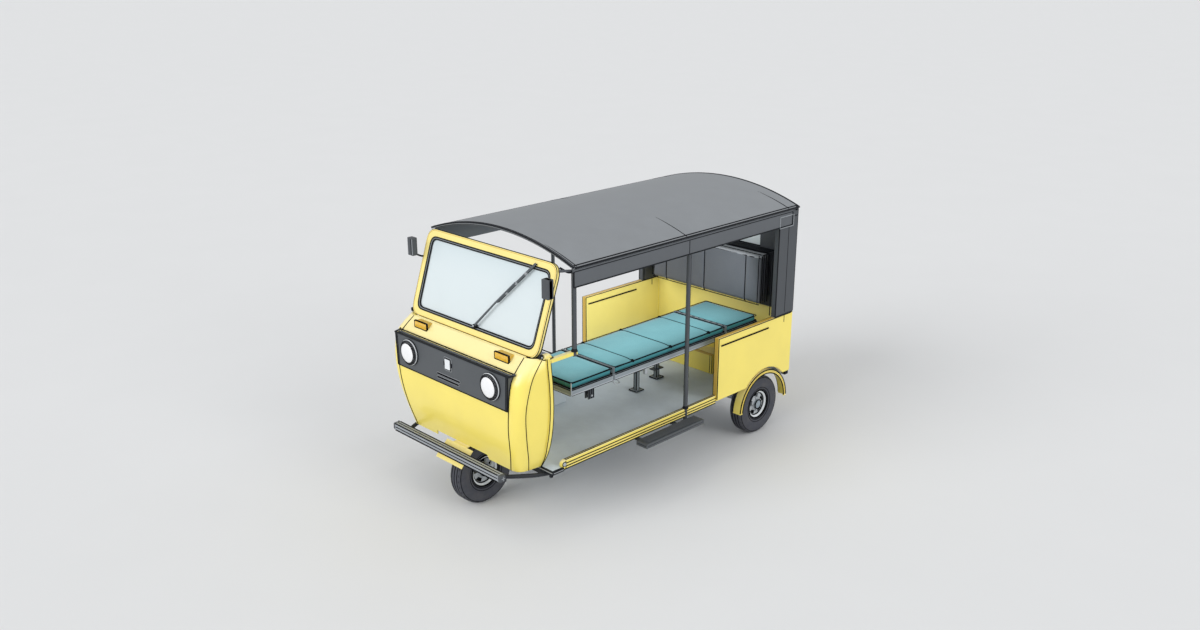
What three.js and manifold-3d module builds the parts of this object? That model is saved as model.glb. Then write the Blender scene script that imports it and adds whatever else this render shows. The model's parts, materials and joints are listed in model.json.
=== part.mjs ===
// Ambulance rickshaw: an open three-wheeler with one front wheel, a hard roof and a patient cot.
// Millimetres, +Z up. The nose points along -Y and +X is the vehicle's left. The ground is z = 0.

import * as THREE from 'three';
import { mergeVertices } from 'three/addons/utils/BufferGeometryUtils.js';
import Module from 'manifold-3d';

const wasm = await Module();
wasm.setup();

// ---------- driving dimensions ----------

const bandY = -1234; // front face of the grille band
const aft = (distance) => bandY + distance; // y of a point so far behind the band
const rearY = aft(2546); // outer face of the rear wall
const bodyHalf = 650; // outer face of the side panels
const wallThick = 35; // folded side and rear walls
const sheet = 8; // pressed cowl panels with their folded edges
const gap = 0.3; // between touching pieces

const tyreRadius = 212.5;
const tyreHalf = 54.5;
const rimRadius = 104;
const frontAxleY = aft(201);
const rearAxleY = aft(2249);
const rearWheelX = 559.5;
const axleZ = tyreRadius;

const floorTop = 410;
const floorThick = 20;
const floorFrontY = aft(222);
const waistZ = 856; // top of the lower side panels
const doorPostY = aft(1718); // front edge of the lower side panels

const roofHalf = 664;
const roofCrest = 1742;
const roofRise = 122;
const roofThick = 12;
const roofFrontY = aft(391);
const roofRearY = aft(2538);
const roofRadius = (roofHalf ** 2 + roofRise ** 2) / (2 * roofRise);
const roofCentreZ = roofCrest - roofRadius;
const roofUnder = (x) => roofCentreZ + Math.sqrt((roofRadius - roofThick) ** 2 - x ** 2);

const postX = 634;
const postRadius = 13;
const postTop = roofUnder(postX + postRadius) - gap;
const frontPostY = aft(416);
const centrePostY = aft(1413);

const screenLean = Math.atan2(177, 525); // windshield, back from upright
const screenFoot = new THREE.Vector3(0, aft(156), 1114); // bottom edge of its frame
const screenHeight = Math.hypot(177, 525);
const screenHalfFoot = 596;
const screenHalfHead = 602;
const screenDeep = 24;
const screenFrameWide = 45;

const cotTop = 860;
const cotLeft = 524;
const cotRight = 50;
const padThick = 46;
const cotFrameTop = cotTop - padThick - 1;
const cotFrameDeep = 40;
const cotFrontY = aft(490);
const cotFrontHingeY = aft(856);
const cotRearHingeY = aft(1950);
const cotRearY = aft(2300);
const hingeGap = 8;

const steerRake = Math.atan2(224, 837); // steering axis, back from upright
const steerAxisY = (z) => aft(235) + (z - axleZ) * Math.tan(steerRake);
const steerPoint = (z, x = 0) => new THREE.Vector3(x, steerAxisY(z), z);

// ---------- finishes ----------

const finish = (color, roughness, metalness = 0) =>
  new THREE.MeshStandardMaterial({ color, roughness, metalness });

const yellowPaint = finish(0xf1d95c, 0.35);
const darkPaint = finish(0x50545a, 0.5);
const roofPaint = finish(0x989c9f, 0.5);
const floorPaint = finish(0x8e979d, 0.6);
const blackPaint = finish(0x2c2f33, 0.55);
const silverPaint = finish(0xc9cdd0, 0.4, 0.4);
const cotPaint = finish(0x96a0a6, 0.45, 0.2);
const tealVinyl = finish(0x72aeb5, 0.6);
const darkVinyl = finish(0x5a5e61, 0.65);
const rubber = finish(0x46484f, 0.9);
const rimPaint = finish(0xe4e6e8, 0.4, 0.2);
const lampWhite = finish(0xf0f0f2, 0.15);
const screenGlass = finish(0xdee8eb, 0.1);

// ---------- solids ----------

function solid(geometry) {
  const bare = geometry.clone();
  bare.deleteAttribute('normal');
  bare.deleteAttribute('uv');
  const merged = mergeVertices(bare, 1e-4);
  return new wasm.Manifold(new wasm.Mesh({
    numProp: 3,
    vertProperties: new Float32Array(merged.attributes.position.array),
    triVerts: new Uint32Array(merged.index.array),
  }));
}

function geometryOf(body) {
  const mesh = body.getMesh();
  const geometry = new THREE.BufferGeometry();
  geometry.setAttribute('position', new THREE.BufferAttribute(mesh.vertProperties, 3));
  geometry.setIndex(new THREE.BufferAttribute(mesh.triVerts, 1));
  geometry.computeVertexNormals();
  return geometry;
}

const union = (...bodies) => bodies.reduce((whole, body) => whole.add(body));
const cut = (body, ...tools) => tools.reduce((rest, tool) => rest.subtract(tool), body);

function box(x0, x1, y0, y1, z0, z1) {
  const block = new THREE.BoxGeometry(x1 - x0, y1 - y0, z1 - z0);
  return solid(block.translate((x0 + x1) / 2, (y0 + y1) / 2, (z0 + z1) / 2));
}

// planes of an outline and the way it is pushed: plan up Z, face back along Y, side along X
const planeBasis = {
  plan: [[1, 0, 0], [0, 1, 0], [0, 0, 1]],
  face: [[1, 0, 0], [0, 0, 1], [0, -1, 0]],
  side: [[0, 1, 0], [0, 0, 1], [1, 0, 0]],
};

const polygon = (corners) => new THREE.Shape(corners.map(([u, v]) => new THREE.Vector2(u, v)));

function prism(plane, outline, from, to, segments = 12) {
  const shape = Array.isArray(outline) ? polygon(outline) : outline;
  const settings = { depth: to - from, bevelEnabled: false, curveSegments: segments };
  const pushed = new THREE.ExtrudeGeometry(shape, settings);
  const [u, v, w] = planeBasis[plane].map((axis) => new THREE.Vector3(...axis));
  pushed.applyMatrix4(new THREE.Matrix4().makeBasis(u, v, w));
  const start = plane === 'face' ? new THREE.Vector3(0, to, 0) : w.clone().multiplyScalar(from);
  return solid(pushed.translate(start.x, start.y, start.z));
}

function rod(start, end, radius, sides = 16, endRadius = radius) {
  const along = new THREE.Vector3().subVectors(end, start);
  const bar = new THREE.CylinderGeometry(endRadius, radius, along.length(), sides);
  const turn = new THREE.Quaternion().setFromUnitVectors(new THREE.Vector3(0, 1, 0), along.normalize());
  const middle = new THREE.Vector3().addVectors(start, end).multiplyScalar(0.5);
  return solid(bar.applyQuaternion(turn).translate(middle.x, middle.y, middle.z));
}

const at = (x, y, z) => new THREE.Vector3(x, y, z);

// a round bar bent smoothly through a run of points
function bentBar(points, radius, steps = 4 * (points.length - 1)) {
  const section = new THREE.Shape().absarc(0, 0, radius, 0, 2 * Math.PI, false);
  const extrudePath = new THREE.CatmullRomCurve3(points, false, 'centripetal');
  return solid(new THREE.ExtrudeGeometry(section, { steps, curveSegments: 5, extrudePath }));
}

// a closed skin through rings of the same number of points, each ring anticlockwise from above
function skin(rings) {
  const count = rings[0].length;
  const corners = rings.flat().flatMap((point) => point.toArray());
  const faces = [];
  for (let level = 0; level < rings.length - 1; level += 1) {
    for (let i = 0; i < count; i += 1) {
      const here = level * count + i;
      const next = level * count + (i + 1) % count;
      faces.push(here, next, next + count, here, next + count, here + count);
    }
  }
  const cap = THREE.ShapeUtils.triangulateShape(rings[0].map((p) => new THREE.Vector2(p.x, p.y)), []);
  const lid = THREE.ShapeUtils.triangulateShape(rings.at(-1).map((p) => new THREE.Vector2(p.x, p.y)), []);
  const top = (rings.length - 1) * count;
  cap.forEach(([a, b, c]) => faces.push(a, c, b));
  lid.forEach(([a, b, c]) => faces.push(top + a, top + b, top + c));
  const geometry = new THREE.BufferGeometry();
  geometry.setAttribute('position', new THREE.BufferAttribute(new Float32Array(corners), 3));
  geometry.setIndex(faces);
  return solid(geometry);
}

// a ring turned about an axle along X, from [distance along the axle, radius] pairs; its facets
// touch the true radius, so that a wheel stands on a flat
const wheelFacets = 32;
function turned(profile, centre) {
  const outset = 1 / Math.cos(Math.PI / wheelFacets);
  const outline = profile.map(([along, radius]) => new THREE.Vector2(radius * outset, along));
  outline.push(outline[0].clone());
  const ring = new THREE.LatheGeometry(outline, wheelFacets, Math.PI / wheelFacets);
  ring.rotateZ(Math.PI / 2);
  return solid(ring.translate(centre.x, centre.y, centre.z));
}

function mirrored(body) {
  return body.mirror([1, 0, 0]);
}

const vehicle = new THREE.Group();

function add(name, body, material) {
  const mesh = new THREE.Mesh(geometryOf(body), material);
  mesh.name = name;
  vehicle.add(mesh);
}

function addPair(name, leftBody, material) {
  add(`${name}_left`, leftBody, material);
  add(`${name}_right`, mirrored(leftBody), material);
}

// ---------- cowl ----------

// height, where the flat front ends, where the corner ends, rear edge; depths are behind the band
const cowlLevels = [
  { z: 412, frontX: 455, frontY: 66, cornerX: 531, cornerY: 137, rearX: 540 },
  { z: 500, frontX: 481, frontY: 45, cornerX: 557, cornerY: 116, rearX: 592 },
  { z: 580, frontX: 498, frontY: 27, cornerX: 576, cornerY: 94, rearX: 622 },
  { z: 700, frontX: 514, frontY: 6, cornerX: 598, cornerY: 68, rearX: 645 },
  { z: 830, frontX: 529, frontY: -1, cornerX: 615, cornerY: 55, rearX: 654 },
  { z: 960, frontX: 537, frontY: 7, cornerX: 624, cornerY: 78, rearX: 650 },
  { z: 1040, frontX: 537, frontY: 38, cornerX: 624, cornerY: 113, rearX: 641 },
  { z: 1120, frontX: 525, frontY: 127, cornerX: 612, cornerY: 190, rearX: 633 },
];
const cowlRearY = aft(228);
const lipWide = 26; // folded rear edge, which narrows to nothing at the foot
const lipFrontY = (z) => cowlRearY - 1 - (lipWide - 1) * THREE.MathUtils.smoothstep(z, 380, 600);

function cowlAt(z) {
  const last = cowlLevels.length - 1;
  const above = Math.max(1, cowlLevels.findIndex((level) => level.z >= z));
  const pick = (offset) => cowlLevels[Math.min(last, Math.max(0, above + offset))];
  const [a, b, c, d] = [pick(-2), pick(-1), pick(0), pick(1)];
  const t = (z - b.z) / (c.z - b.z);
  const smooth = (key) => {
    const slopeB = (c[key] - a[key]) / (c.z - a.z) * (c.z - b.z);
    const slopeC = (d[key] - b[key]) / (d.z - b.z) * (c.z - b.z);
    return THREE.MathUtils.lerp(b[key], c[key], t * t * (3 - 2 * t))
      + slopeB * t * (1 - t) ** 2 - slopeC * t * t * (1 - t);
  };
  return { frontX: smooth('frontX'), frontY: aft(smooth('frontY')),
    cornerX: smooth('cornerX'), cornerY: aft(smooth('cornerY')), rearX: smooth('rearX') };
}

const lipProud = 3.5;
const postRail = { inner: 612, outer: 640, low: 1090, high: 1112 }; // from the cowl back to the front post
const cowlHeights = [412, 456, 500, 540, 580, 640, 700, 765, 830, 895, 960, 1000, 1040, 1080, 1120];
const cornerSteps = 5;

// outer line of the corner and side, from the front seam to the rear edge
function cowlSideLine(z) {
  const { frontX, frontY, cornerX, cornerY, rearX } = cowlAt(z);
  const flare = (rearX - cornerX) / (cowlRearY - cornerY);
  const bend = new THREE.Vector2(cornerX - flare * (cornerY - frontY), frontY);
  const corner = new THREE.QuadraticBezierCurve(
    new THREE.Vector2(frontX + gap, frontY), bend, new THREE.Vector2(cornerX, cornerY));
  return [...corner.getPoints(cornerSteps), new THREE.Vector2(rearX, cowlRearY)];
}

function offsetInward(line, distance) {
  return line.map((point, i) => {
    const before = line[Math.max(0, i - 1)];
    const after = line[Math.min(line.length - 1, i + 1)];
    const along = new THREE.Vector2().subVectors(after, before).normalize();
    return new THREE.Vector2(point.x - along.y * distance, point.y + along.x * distance);
  });
}

function cowlSide() {
  const rings = cowlHeights.map((z) => {
    const outer = cowlSideLine(z);
    const inner = offsetInward(outer, sheet);
    inner[0].set(outer[0].x, outer[0].y + sheet);
    inner.at(-1).y = cowlRearY;
    return [...outer, ...inner.reverse()].map((p) => at(p.x, p.y, z));
  });
  const lip = cowlHeights.map((z) => {
    const { rearX } = cowlAt(z);
    return [at(rearX - sheet, lipFrontY(z), z), at(rearX + lipProud - 1, lipFrontY(z), z),
      at(rearX + lipProud, cowlRearY, z), at(rearX - sheet, cowlRearY, z)];
  });
  const { inner, outer, low, high } = postRail;
  const rail = box(inner, outer, cowlRearY - 12, frontPostY + postRadius + 8, low, high);
  const postHole = rod(at(postX, frontPostY, low - 10), at(postX, frontPostY, high + 8), postRadius + gap);
  return union(skin(rings), skin(lip), cut(rail, postHole));
}

function cowlFront() {
  const rings = cowlHeights.map((z) => {
    const { frontX, frontY } = cowlAt(z);
    return [at(-frontX, frontY, z), at(frontX, frontY, z),
      at(frontX, frontY + sheet, z), at(-frontX, frontY + sheet, z)];
  });
  const [archLow, archTop, archHalf, splay] = [400, 442, 245, 12];
  const archOutline = [[-archHalf - splay, archLow], [archHalf + splay, archLow],
    [archHalf, archTop], [-archHalf, archTop]];
  const arch = prism('face', archOutline, aft(0), aft(120));
  const scuttle = box(-520, 520, aft(127), aft(150), 1110, 1120);
  return union(cut(skin(rings), arch), scuttle);
}

add('cowl_front_panel', cowlFront(), yellowPaint);
addPair('cowl_side_panel', cowlSide(), yellowPaint);

const bandHeights = cowlHeights.filter((z) => z >= 830 && z <= 1040);
const bandProud = 9;
const bandHalf = (z) => THREE.MathUtils.mapLinear(z, 830, 1040, 529, 539);
const bandLeast = 4; // thickness where the cowl comes closest to the band's face
const bandRings = bandHeights.map((z) => {
  const back = cowlAt(z).frontY - gap;
  const face = Math.min(aft(-bandProud), back - bandLeast);
  const half = bandHalf(z);
  return [at(-half, face, z), at(half, face, z), at(half, back, z), at(-half, back, z)];
});
const lampX = 390;
const lampZ = 946;
const lampRadius = 80;
const lampHoles = [-lampX, lampX].map((x) =>
  rod(at(x, aft(-60), lampZ), at(x, aft(60), lampZ), lampRadius + 1, 24));
add('grille_band', cut(skin(bandRings), ...lampHoles), darkPaint);

// radius and how far it stands out of the band
const lampProfile = [[0, 0], [lampRadius, 0], [lampRadius, 22], [72, 32], [64, 34], [56, 38],
  [30, 43], [0, 44]];
function headlight() {
  const outline = lampProfile.map(([radius, proud]) => new THREE.Vector2(radius, proud));
  const bowl = new THREE.LatheGeometry(outline, 24);
  return solid(bowl.rotateX(Math.PI).translate(lampX, aft(-1.6), lampZ));
}
addPair('headlight', headlight(), lampWhite);

// ---------- windshield ----------

const screenUp = at(0, Math.sin(screenLean), Math.cos(screenLean));
const screenOut = at(0, -Math.cos(screenLean), Math.sin(screenLean));
const screenBasis = new THREE.Matrix4().makeBasis(at(1, 0, 0), screenUp, screenOut);
screenBasis.setPosition(screenFoot);

// rounded outline of the windshield, shrunk all round by inset
function screenOutline(inset, radius) {
  const foot = screenHalfFoot - inset;
  const head = screenHalfHead - inset;
  const [low, high] = [inset, screenHeight - inset];
  const shape = new THREE.Shape();
  shape.moveTo(-foot + radius, low);
  shape.lineTo(foot - radius, low);
  shape.quadraticCurveTo(foot, low, foot, low + radius);
  shape.lineTo(head, high - radius);
  shape.quadraticCurveTo(head, high, head - radius, high);
  shape.lineTo(-head + radius, high);
  shape.quadraticCurveTo(-head, high, -head, high - radius);
  shape.lineTo(-foot, low + radius);
  shape.quadraticCurveTo(-foot, low, -foot + radius, low);
  return shape;
}

function screenPlate(inset, radius, from, to) {
  const settings = { depth: to - from, bevelEnabled: false, curveSegments: 8 };
  const plate = new THREE.ExtrudeGeometry(screenOutline(inset, radius), settings).translate(0, 0, from);
  return solid(plate.applyMatrix4(screenBasis));
}

const screenCorner = { frame: 80, pane: 52 };
const cowlTop = cowlHeights.at(-1);
const clearOfCowl = box(-bodyHalf, bodyHalf, aft(0), aft(260), cowlTop - 100, cowlTop + gap);
const screenPane = screenPlate(screenFrameWide, screenCorner.pane, -screenDeep - 5, 5);
const screenFrame = cut(screenPlate(0, screenCorner.frame, -screenDeep, 0), screenPane, clearOfCowl);
add('windshield_frame', screenFrame, yellowPaint);
const glassPlate = screenPlate(screenFrameWide + gap, screenCorner.pane, -16, -10);
add('windshield_glass', glassPlate, screenGlass);

// wiper places on the windshield: across and up its plane; it hangs clear in front of the frame
const onScreen = (across, up, out) => at(across, up, out).applyMatrix4(screenBasis);
const wiperOut = { pivot: -10 + gap, arm: 16, blade: 12 };
const wiper = union(
  rod(onScreen(34, 64, wiperOut.pivot), onScreen(34, 64, 22), 13, 12),
  rod(onScreen(34, 64, wiperOut.arm), onScreen(178, 243, wiperOut.arm), 5, 8),
  rod(onScreen(170, 233, wiperOut.arm), onScreen(305, 388, wiperOut.arm), 6, 8),
  rod(onScreen(183, 245, wiperOut.blade), onScreen(432, 526, wiperOut.blade), 8, 8));
add('wiper', wiper, blackPaint);

// the left housing stands further out than the right one
const mirrors = [
  { side: 'left', mirror: 1, inner: 612, outer: 668 },
  { side: 'right', mirror: -1, inner: 598, outer: 650 },
];
const clearOfFrame = screenPlate(0, screenCorner.frame, -screenDeep, gap);
mirrors.forEach(({ side, mirror, inner, outer }) => {
  const [low, high] = mirror > 0 ? [inner, outer] : [-outer, -inner];
  const housing = box(low, high, aft(195), aft(233), 1478, 1592);
  const armPoints = [at(mirror * 592, aft(283), 1462), at(mirror * 616, aft(262), 1466),
    at(mirror * (inner + 26), aft(215), 1500)];
  add(`mirror_${side}`, union(housing, cut(bentBar(armPoints, 6), clearOfFrame)), blackPaint);
});

// ---------- bumper and underframe ----------

const bumperHalf = 530;
const bumperBar = { front: aft(-78), rear: aft(-32), low: 403, high: 449, round: 12 };
function bumperOutline({ front, rear, low, high, round }) {
  const shape = new THREE.Shape();
  shape.moveTo(rear, low);
  shape.lineTo(rear, high);
  shape.lineTo(front + round, high);
  shape.quadraticCurveTo(front, high, front, high - round);
  shape.lineTo(front, low + round);
  shape.quadraticCurveTo(front, low, front + round, low);
  return shape;
}
const stayRadius = 13;
const stayPoints = [at(448, aft(-12), 396), at(500, aft(60), 390), at(560, aft(180), 378),
  at(580, aft(262), 371)];
const bumperStay = union(
  box(430, 466, bumperBar.rear - 1, aft(-4), 380, 424),
  bentBar(stayPoints, stayRadius));
const bumperRail = prism('side', bumperOutline(bumperBar), -bumperHalf, bumperHalf, 4);
add('front_bumper', union(bumperRail, bumperStay, mirrored(bumperStay)), blackPaint);

const railX = 300;
const railTop = floorTop - floorThick - gap;
const railDeep = 44;
const crossMembers = [aft(480), aft(960), aft(1440), aft(1860)].map((y) =>
  box(-550, 550, y - 20, y + 20, railTop - railDeep + 4, railTop - 2));
const tailMember = box(-440, 440, aft(2470), aft(2508), railTop - railDeep + 4, railTop - 2);
const frameRail = box(railX - 22, railX + 22, floorFrontY + 10, aft(2506), railTop - railDeep, railTop);
const noseMember = box(-540, 540, floorFrontY + 4, floorFrontY + 34, railTop - 30, railTop - 2);
const headLow = steerPoint(560);
const headHigh = steerPoint(650);
const headBore = rod(steerPoint(540), steerPoint(670), 24, 20);
const strutRadius = 15;
const strutFoot = at(railX, aft(500), railTop - 10);
const headStrut = bentBar(
  [at(30, steerAxisY(600), 600), at(240, aft(440), 570), at(railX, aft(498), 540), strutFoot], strutRadius);
const headPlate = box(-60, 60, steerAxisY(605) - 20, steerAxisY(605) + 20, 590, 620);
const chassis = union(frameRail, mirrored(frameRail), noseMember, tailMember, ...crossMembers,
  rod(headLow, headHigh, 34, 20), headPlate, headStrut, mirrored(headStrut));
const stayRoom = box(535, 610, floorFrontY, aft(300), 340, railTop + 2);

// ---------- floor ----------

const sillX = { inner: 612, outer: 641 };
const sillNoseY = aft(334);
const noseBox = { half: 190, rear: aft(445), top: 530, wall: 5 };
const wheelBox = { inner: 478, front: aft(1950), rear: aft(2490), top: 512, wall: 5 };
const innerWall = bodyHalf - wallThick - gap;
const rearInnerY = rearY - wallThick;
const underFloor = 300; // any height below the floor and its frame
const noseRoom = box(-noseBox.half + noseBox.wall, noseBox.half - noseBox.wall, floorFrontY - 1,
  noseBox.rear - noseBox.wall, underFloor, floorTop + 1);

function floorPan() {
  const plate = union(
    box(-bodyHalf, bodyHalf, floorFrontY, sillNoseY - 30, floorTop - floorThick, floorTop),
    box(-sillX.inner + gap, sillX.inner - gap, floorFrontY, doorPostY + 5, floorTop - floorThick, floorTop),
    box(-innerWall, innerWall, doorPostY, rearInnerY - gap, floorTop - floorThick, floorTop));
  const { half, rear, top, wall } = noseBox;
  const noseShell = cut(
    box(-half, half, floorFrontY, rear, floorTop - floorThick, top),
    box(-half + wall, half - wall, floorFrontY - 1, rear - wall, underFloor, top - wall));
  const columnHole = rod(steerPoint(480), steerPoint(560), 40, 20);
  const strutHole = rod(strutFoot, at(strutFoot.x, strutFoot.y, 420), strutRadius + 6);
  const open = cut(plate, noseRoom, strutHole, mirrored(strutHole));
  const shell = box(wheelBox.inner, innerWall, wheelBox.front, wheelBox.rear,
    floorTop - floorThick, wheelBox.top);
  const room = box(wheelBox.inner + wheelBox.wall, innerWall + 1, wheelBox.front + wheelBox.wall,
    wheelBox.rear - wheelBox.wall, underFloor, wheelBox.top - wheelBox.wall);
  const whole = union(open, cut(noseShell, columnHole), shell, mirrored(shell));
  return cut(whole, room, mirrored(room));
}
add('floor_pan', floorPan(), floorPaint);
add('chassis_frame', cut(chassis, headBore, noseRoom, stayRoom, mirrored(stayRoom)), blackPaint);

// ---------- sills, steps and posts ----------

const sillLow = 391;
const sillHigh = 448;

function sill() {
  const radius = (sillHigh - sillLow) / 2;
  const shape = new THREE.Shape();
  shape.moveTo(doorPostY - gap, sillLow);
  shape.lineTo(doorPostY - gap, sillHigh);
  shape.lineTo(sillNoseY, sillHigh);
  shape.absarc(sillNoseY, sillLow + radius, radius, Math.PI / 2, Math.PI * 1.5, false);
  const room = postRadius + gap;
  const postNotch = box(postX - room, 700, centrePostY - room, centrePostY + room, 380, 460);
  return cut(prism('side', shape, sillX.inner, sillX.outer), postNotch);
}
addPair('sill', sill(), yellowPaint);

const step = { inner: 650, outer: 742, front: aft(930), rear: aft(1479), low: 352, top: 382 };
const stepPlate = box(step.inner, step.outer, step.front, step.rear, step.low, step.top);
const stepArms = [aft(995), aft(1335)].map((y) => union(
  box(560, step.inner + 10, y - 18, y + 18, step.low, step.low + 8),
  box(560, 572, y - 16, y + 16, step.low + 2, railTop)));
const toeThick = 10;
const stepToe = box(postX - 16, step.inner + 2, centrePostY - 20, centrePostY + 20,
  step.low, step.low + toeThick);
addPair('side_step', union(stepPlate, stepToe, ...stepArms), blackPaint);

const centrePostFoot = at(postX, centrePostY, step.low + toeThick + gap);
const centrePost = rod(centrePostFoot, at(postX, centrePostY, postTop), postRadius, 20);
addPair('centre_post', centrePost, darkPaint);

const frontPostFoot = at(postX, frontPostY, postRail.low - 6);
const frontPost = rod(frontPostFoot, at(postX, frontPostY, postTop), postRadius, 20);
const screenStay = cut(
  rod(at(596, aft(338), 1600), at(postX, frontPostY, 1596), 8, 10),
  screenPlate(-1, 80, -screenDeep - gap, 5));
addPair('front_post', union(frontPost, screenStay), darkPaint);

// ---------- roof ----------

function roofArch(outerRadius, innerRadius, half) {
  const shape = new THREE.Shape();
  const outerAngle = Math.acos(half / outerRadius);
  const innerAngle = Math.acos(half / innerRadius);
  shape.absarc(0, roofCentreZ, outerRadius, outerAngle, Math.PI - outerAngle, false);
  shape.absarc(0, roofCentreZ, innerRadius, Math.PI - innerAngle, innerAngle, true);
  return shape;
}
const roofArchShape = roofArch(roofRadius, roofRadius - roofThick, roofHalf);
add('roof_panel', prism('face', roofArchShape, roofFrontY, roofRearY, 28), roofPaint);

const valance = { inner: 647.6, outer: 656, low: 1500, rear: aft(2469) };
const valanceShape = [[valance.inner, valance.low], [valance.outer, valance.low],
  [valance.outer, roofUnder(valance.outer) - 3], [valance.inner, roofUnder(valance.outer) - 3]];
addPair('roof_valance', prism('face', valanceShape, roofFrontY + gap, valance.rear), darkPaint);

// ---------- rear body ----------

const cornerRadius = 12;
const wallEndX = bodyHalf - 50; // where the side wall, folded round the corner, meets the rear wall

// plan of a side wall from its front edge round the rear corner
function sideWallPlan(frontY) {
  const shape = new THREE.Shape();
  shape.moveTo(bodyHalf, frontY);
  shape.lineTo(bodyHalf, rearY - cornerRadius);
  shape.absarc(bodyHalf - cornerRadius, rearY - cornerRadius, cornerRadius, 0, Math.PI / 2, false);
  shape.lineTo(wallEndX, rearY);
  shape.lineTo(wallEndX, rearInnerY);
  shape.lineTo(bodyHalf - wallThick, rearInnerY);
  shape.lineTo(bodyHalf - wallThick, frontY);
  return shape;
}

const archRadius = 290;
const sideLow = 409;
const wheelArch = rod(at(600, rearAxleY, axleZ), at(670, rearAxleY, axleZ), archRadius, 48);
const sidePanel = cut(prism('plan', sideWallPlan(doorPostY), sideLow, waistZ, 6), wheelArch);
addPair('rear_side_panel', sidePanel, yellowPaint);
const rearLower = box(-wallEndX + gap, wallEndX - gap, rearInnerY, rearY, sideLow, waistZ);
add('rear_panel_lower', rearLower, yellowPaint);

const quarterFrontY = aft(2331);
const quarterTop = roofUnder(bodyHalf) - 1;
const behindValance = box(valance.inner - gap, roofHalf, quarterFrontY - 1, valance.rear + gap,
  valance.low - gap, roofCrest);
const quarterWall = prism('plan', sideWallPlan(quarterFrontY), waistZ + gap, quarterTop, 6);
const quarter = cut(quarterWall, behindValance);
addPair('rear_quarter', quarter, darkPaint);

const rearWindow = { half: 360, low: 1282, high: 1545, corner: 8 };
const backrest = { half: 517, front: aft(2326), rear: aft(2420), low: 912, high: 1288 };
const ledgeLow = 960; // box behind the backrest, on the inside of the rear panel
const ledgeTop = 1278;
function windowOutline(inset) {
  const { half, low, high, corner } = rearWindow;
  const [w, z0, z1, r] = [half - inset, low + inset, high - inset, corner];
  const shape = new THREE.Shape();
  shape.absarc(w - r, z0 + r, r, -Math.PI / 2, 0, false);
  shape.absarc(w - r, z1 - r, r, 0, Math.PI / 2, false);
  shape.absarc(-w + r, z1 - r, r, Math.PI / 2, Math.PI, false);
  shape.absarc(-w + r, z0 + r, r, Math.PI, Math.PI * 1.5, false);
  return shape;
}
function rearPanelUpper() {
  const radius = roofRadius - roofThick - gap;
  const half = wallEndX - gap;
  const angle = Math.acos(half / radius);
  const shape = new THREE.Shape();
  shape.moveTo(-half, waistZ + gap);
  shape.lineTo(half, waistZ + gap);
  shape.absarc(0, roofCentreZ, radius, angle, Math.PI - angle, false);
  const wall = prism('face', shape, rearInnerY, rearY, 20);
  const aboveRoof = prism('face', roofArch(roofRadius + 60, radius, roofHalf), rearInnerY - 1, rearY + 1, 20);
  const windowHole = prism('face', windowOutline(0), rearInnerY - 1, rearY + 1, 6);
  const ledge = box(-backrest.half + 12, backrest.half - 12, backrest.rear + gap, rearInnerY + 1,
    ledgeLow, ledgeTop);
  return union(cut(wall, aboveRoof, windowHole), ledge);
}
add('rear_panel_upper', rearPanelUpper(), darkPaint);
add('rear_window_glass', prism('face', windowOutline(gap), rearY - 20, rearY - 15, 6), screenGlass);

// half ring over the wheel, with a lip turned in at its outer edge; its middle is a little off the axle
const guard = { y: aft(2239), z: 222.5, outer: 265, inner: 258, lip: 238, from: 592, to: 657, edge: 7 };
function rearMudguard() {
  const disc = (from, to, radius) => rod(at(from, guard.y, guard.z), at(to, guard.y, guard.z), radius, 48);
  const band = cut(
    disc(guard.from, guard.to, guard.outer),
    disc(guard.from - 1, guard.to - guard.edge, guard.inner),
    disc(guard.from - 1, guard.to + 1, guard.lip));
  const belowAxle = box(guard.from - 1, guard.to + 1, guard.y - 300, guard.y + 300, -100, guard.z + 4);
  return cut(band, belowAxle);
}
addPair('rear_mudguard', rearMudguard(), yellowPaint);

// ---------- bench, engine and seats ----------

const bench = { half: 315, front: aft(2070), stepRear: aft(2187), rear: aft(2480), stepTop: 560, top: 640 };
const benchWall = 6;

// side outline of the stepped bench box, shrunk by inset and open below when it is the inside
function benchOutline(inset, low) {
  const { front, stepRear, rear, stepTop, top } = bench;
  return [[front + inset, low], [rear - inset, low], [rear - inset, top - inset],
    [stepRear + inset, top - inset], [stepRear + inset, stepTop - inset], [front + inset, stepTop - inset]];
}
const benchShell = cut(
  prism('side', benchOutline(0, floorTop + gap), -bench.half, bench.half),
  prism('side', benchOutline(benchWall, floorTop - 5), -bench.half + benchWall, bench.half - benchWall));
add('bench_box', benchShell, yellowPaint);
add('engine_block', box(-190, 190, aft(2205), aft(2460), floorTop + gap, 615), blackPaint);
const benchPad = { half: 308, rear: aft(2420), top: 666 };
const benchCushion = box(-benchPad.half, benchPad.half, bench.stepRear, benchPad.rear,
  bench.top + gap, benchPad.top);
add('bench_cushion', benchCushion, darkVinyl);

const backrestPad = box(-backrest.half, backrest.half, backrest.front, backrest.rear,
  backrest.low, backrest.high);
add('backrest_cushion', backrestPad, darkVinyl);

const driverSeat = { left: -45, right: -480, front: aft(690), rear: aft(1010), boxTop: 650, top: 728 };
function seatBlock(inset, low, high) {
  const { left, right, front, rear } = driverSeat;
  return box(right + inset, left - inset, front + inset, rear - inset, low, high);
}
add('driver_seat_box', seatBlock(15, floorTop + gap, driverSeat.boxTop), darkPaint);
add('driver_seat_cushion', seatBlock(0, driverSeat.boxTop + gap, driverSeat.top), darkVinyl);

// ---------- cot ----------

const cotFrameLow = cotFrameTop - cotFrameDeep;
const leafThick = 2.5; // hinge leaves that stand between two pads
const leafTop = cotTop - 2;
const padEndRoom = leafThick + 1;

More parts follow.
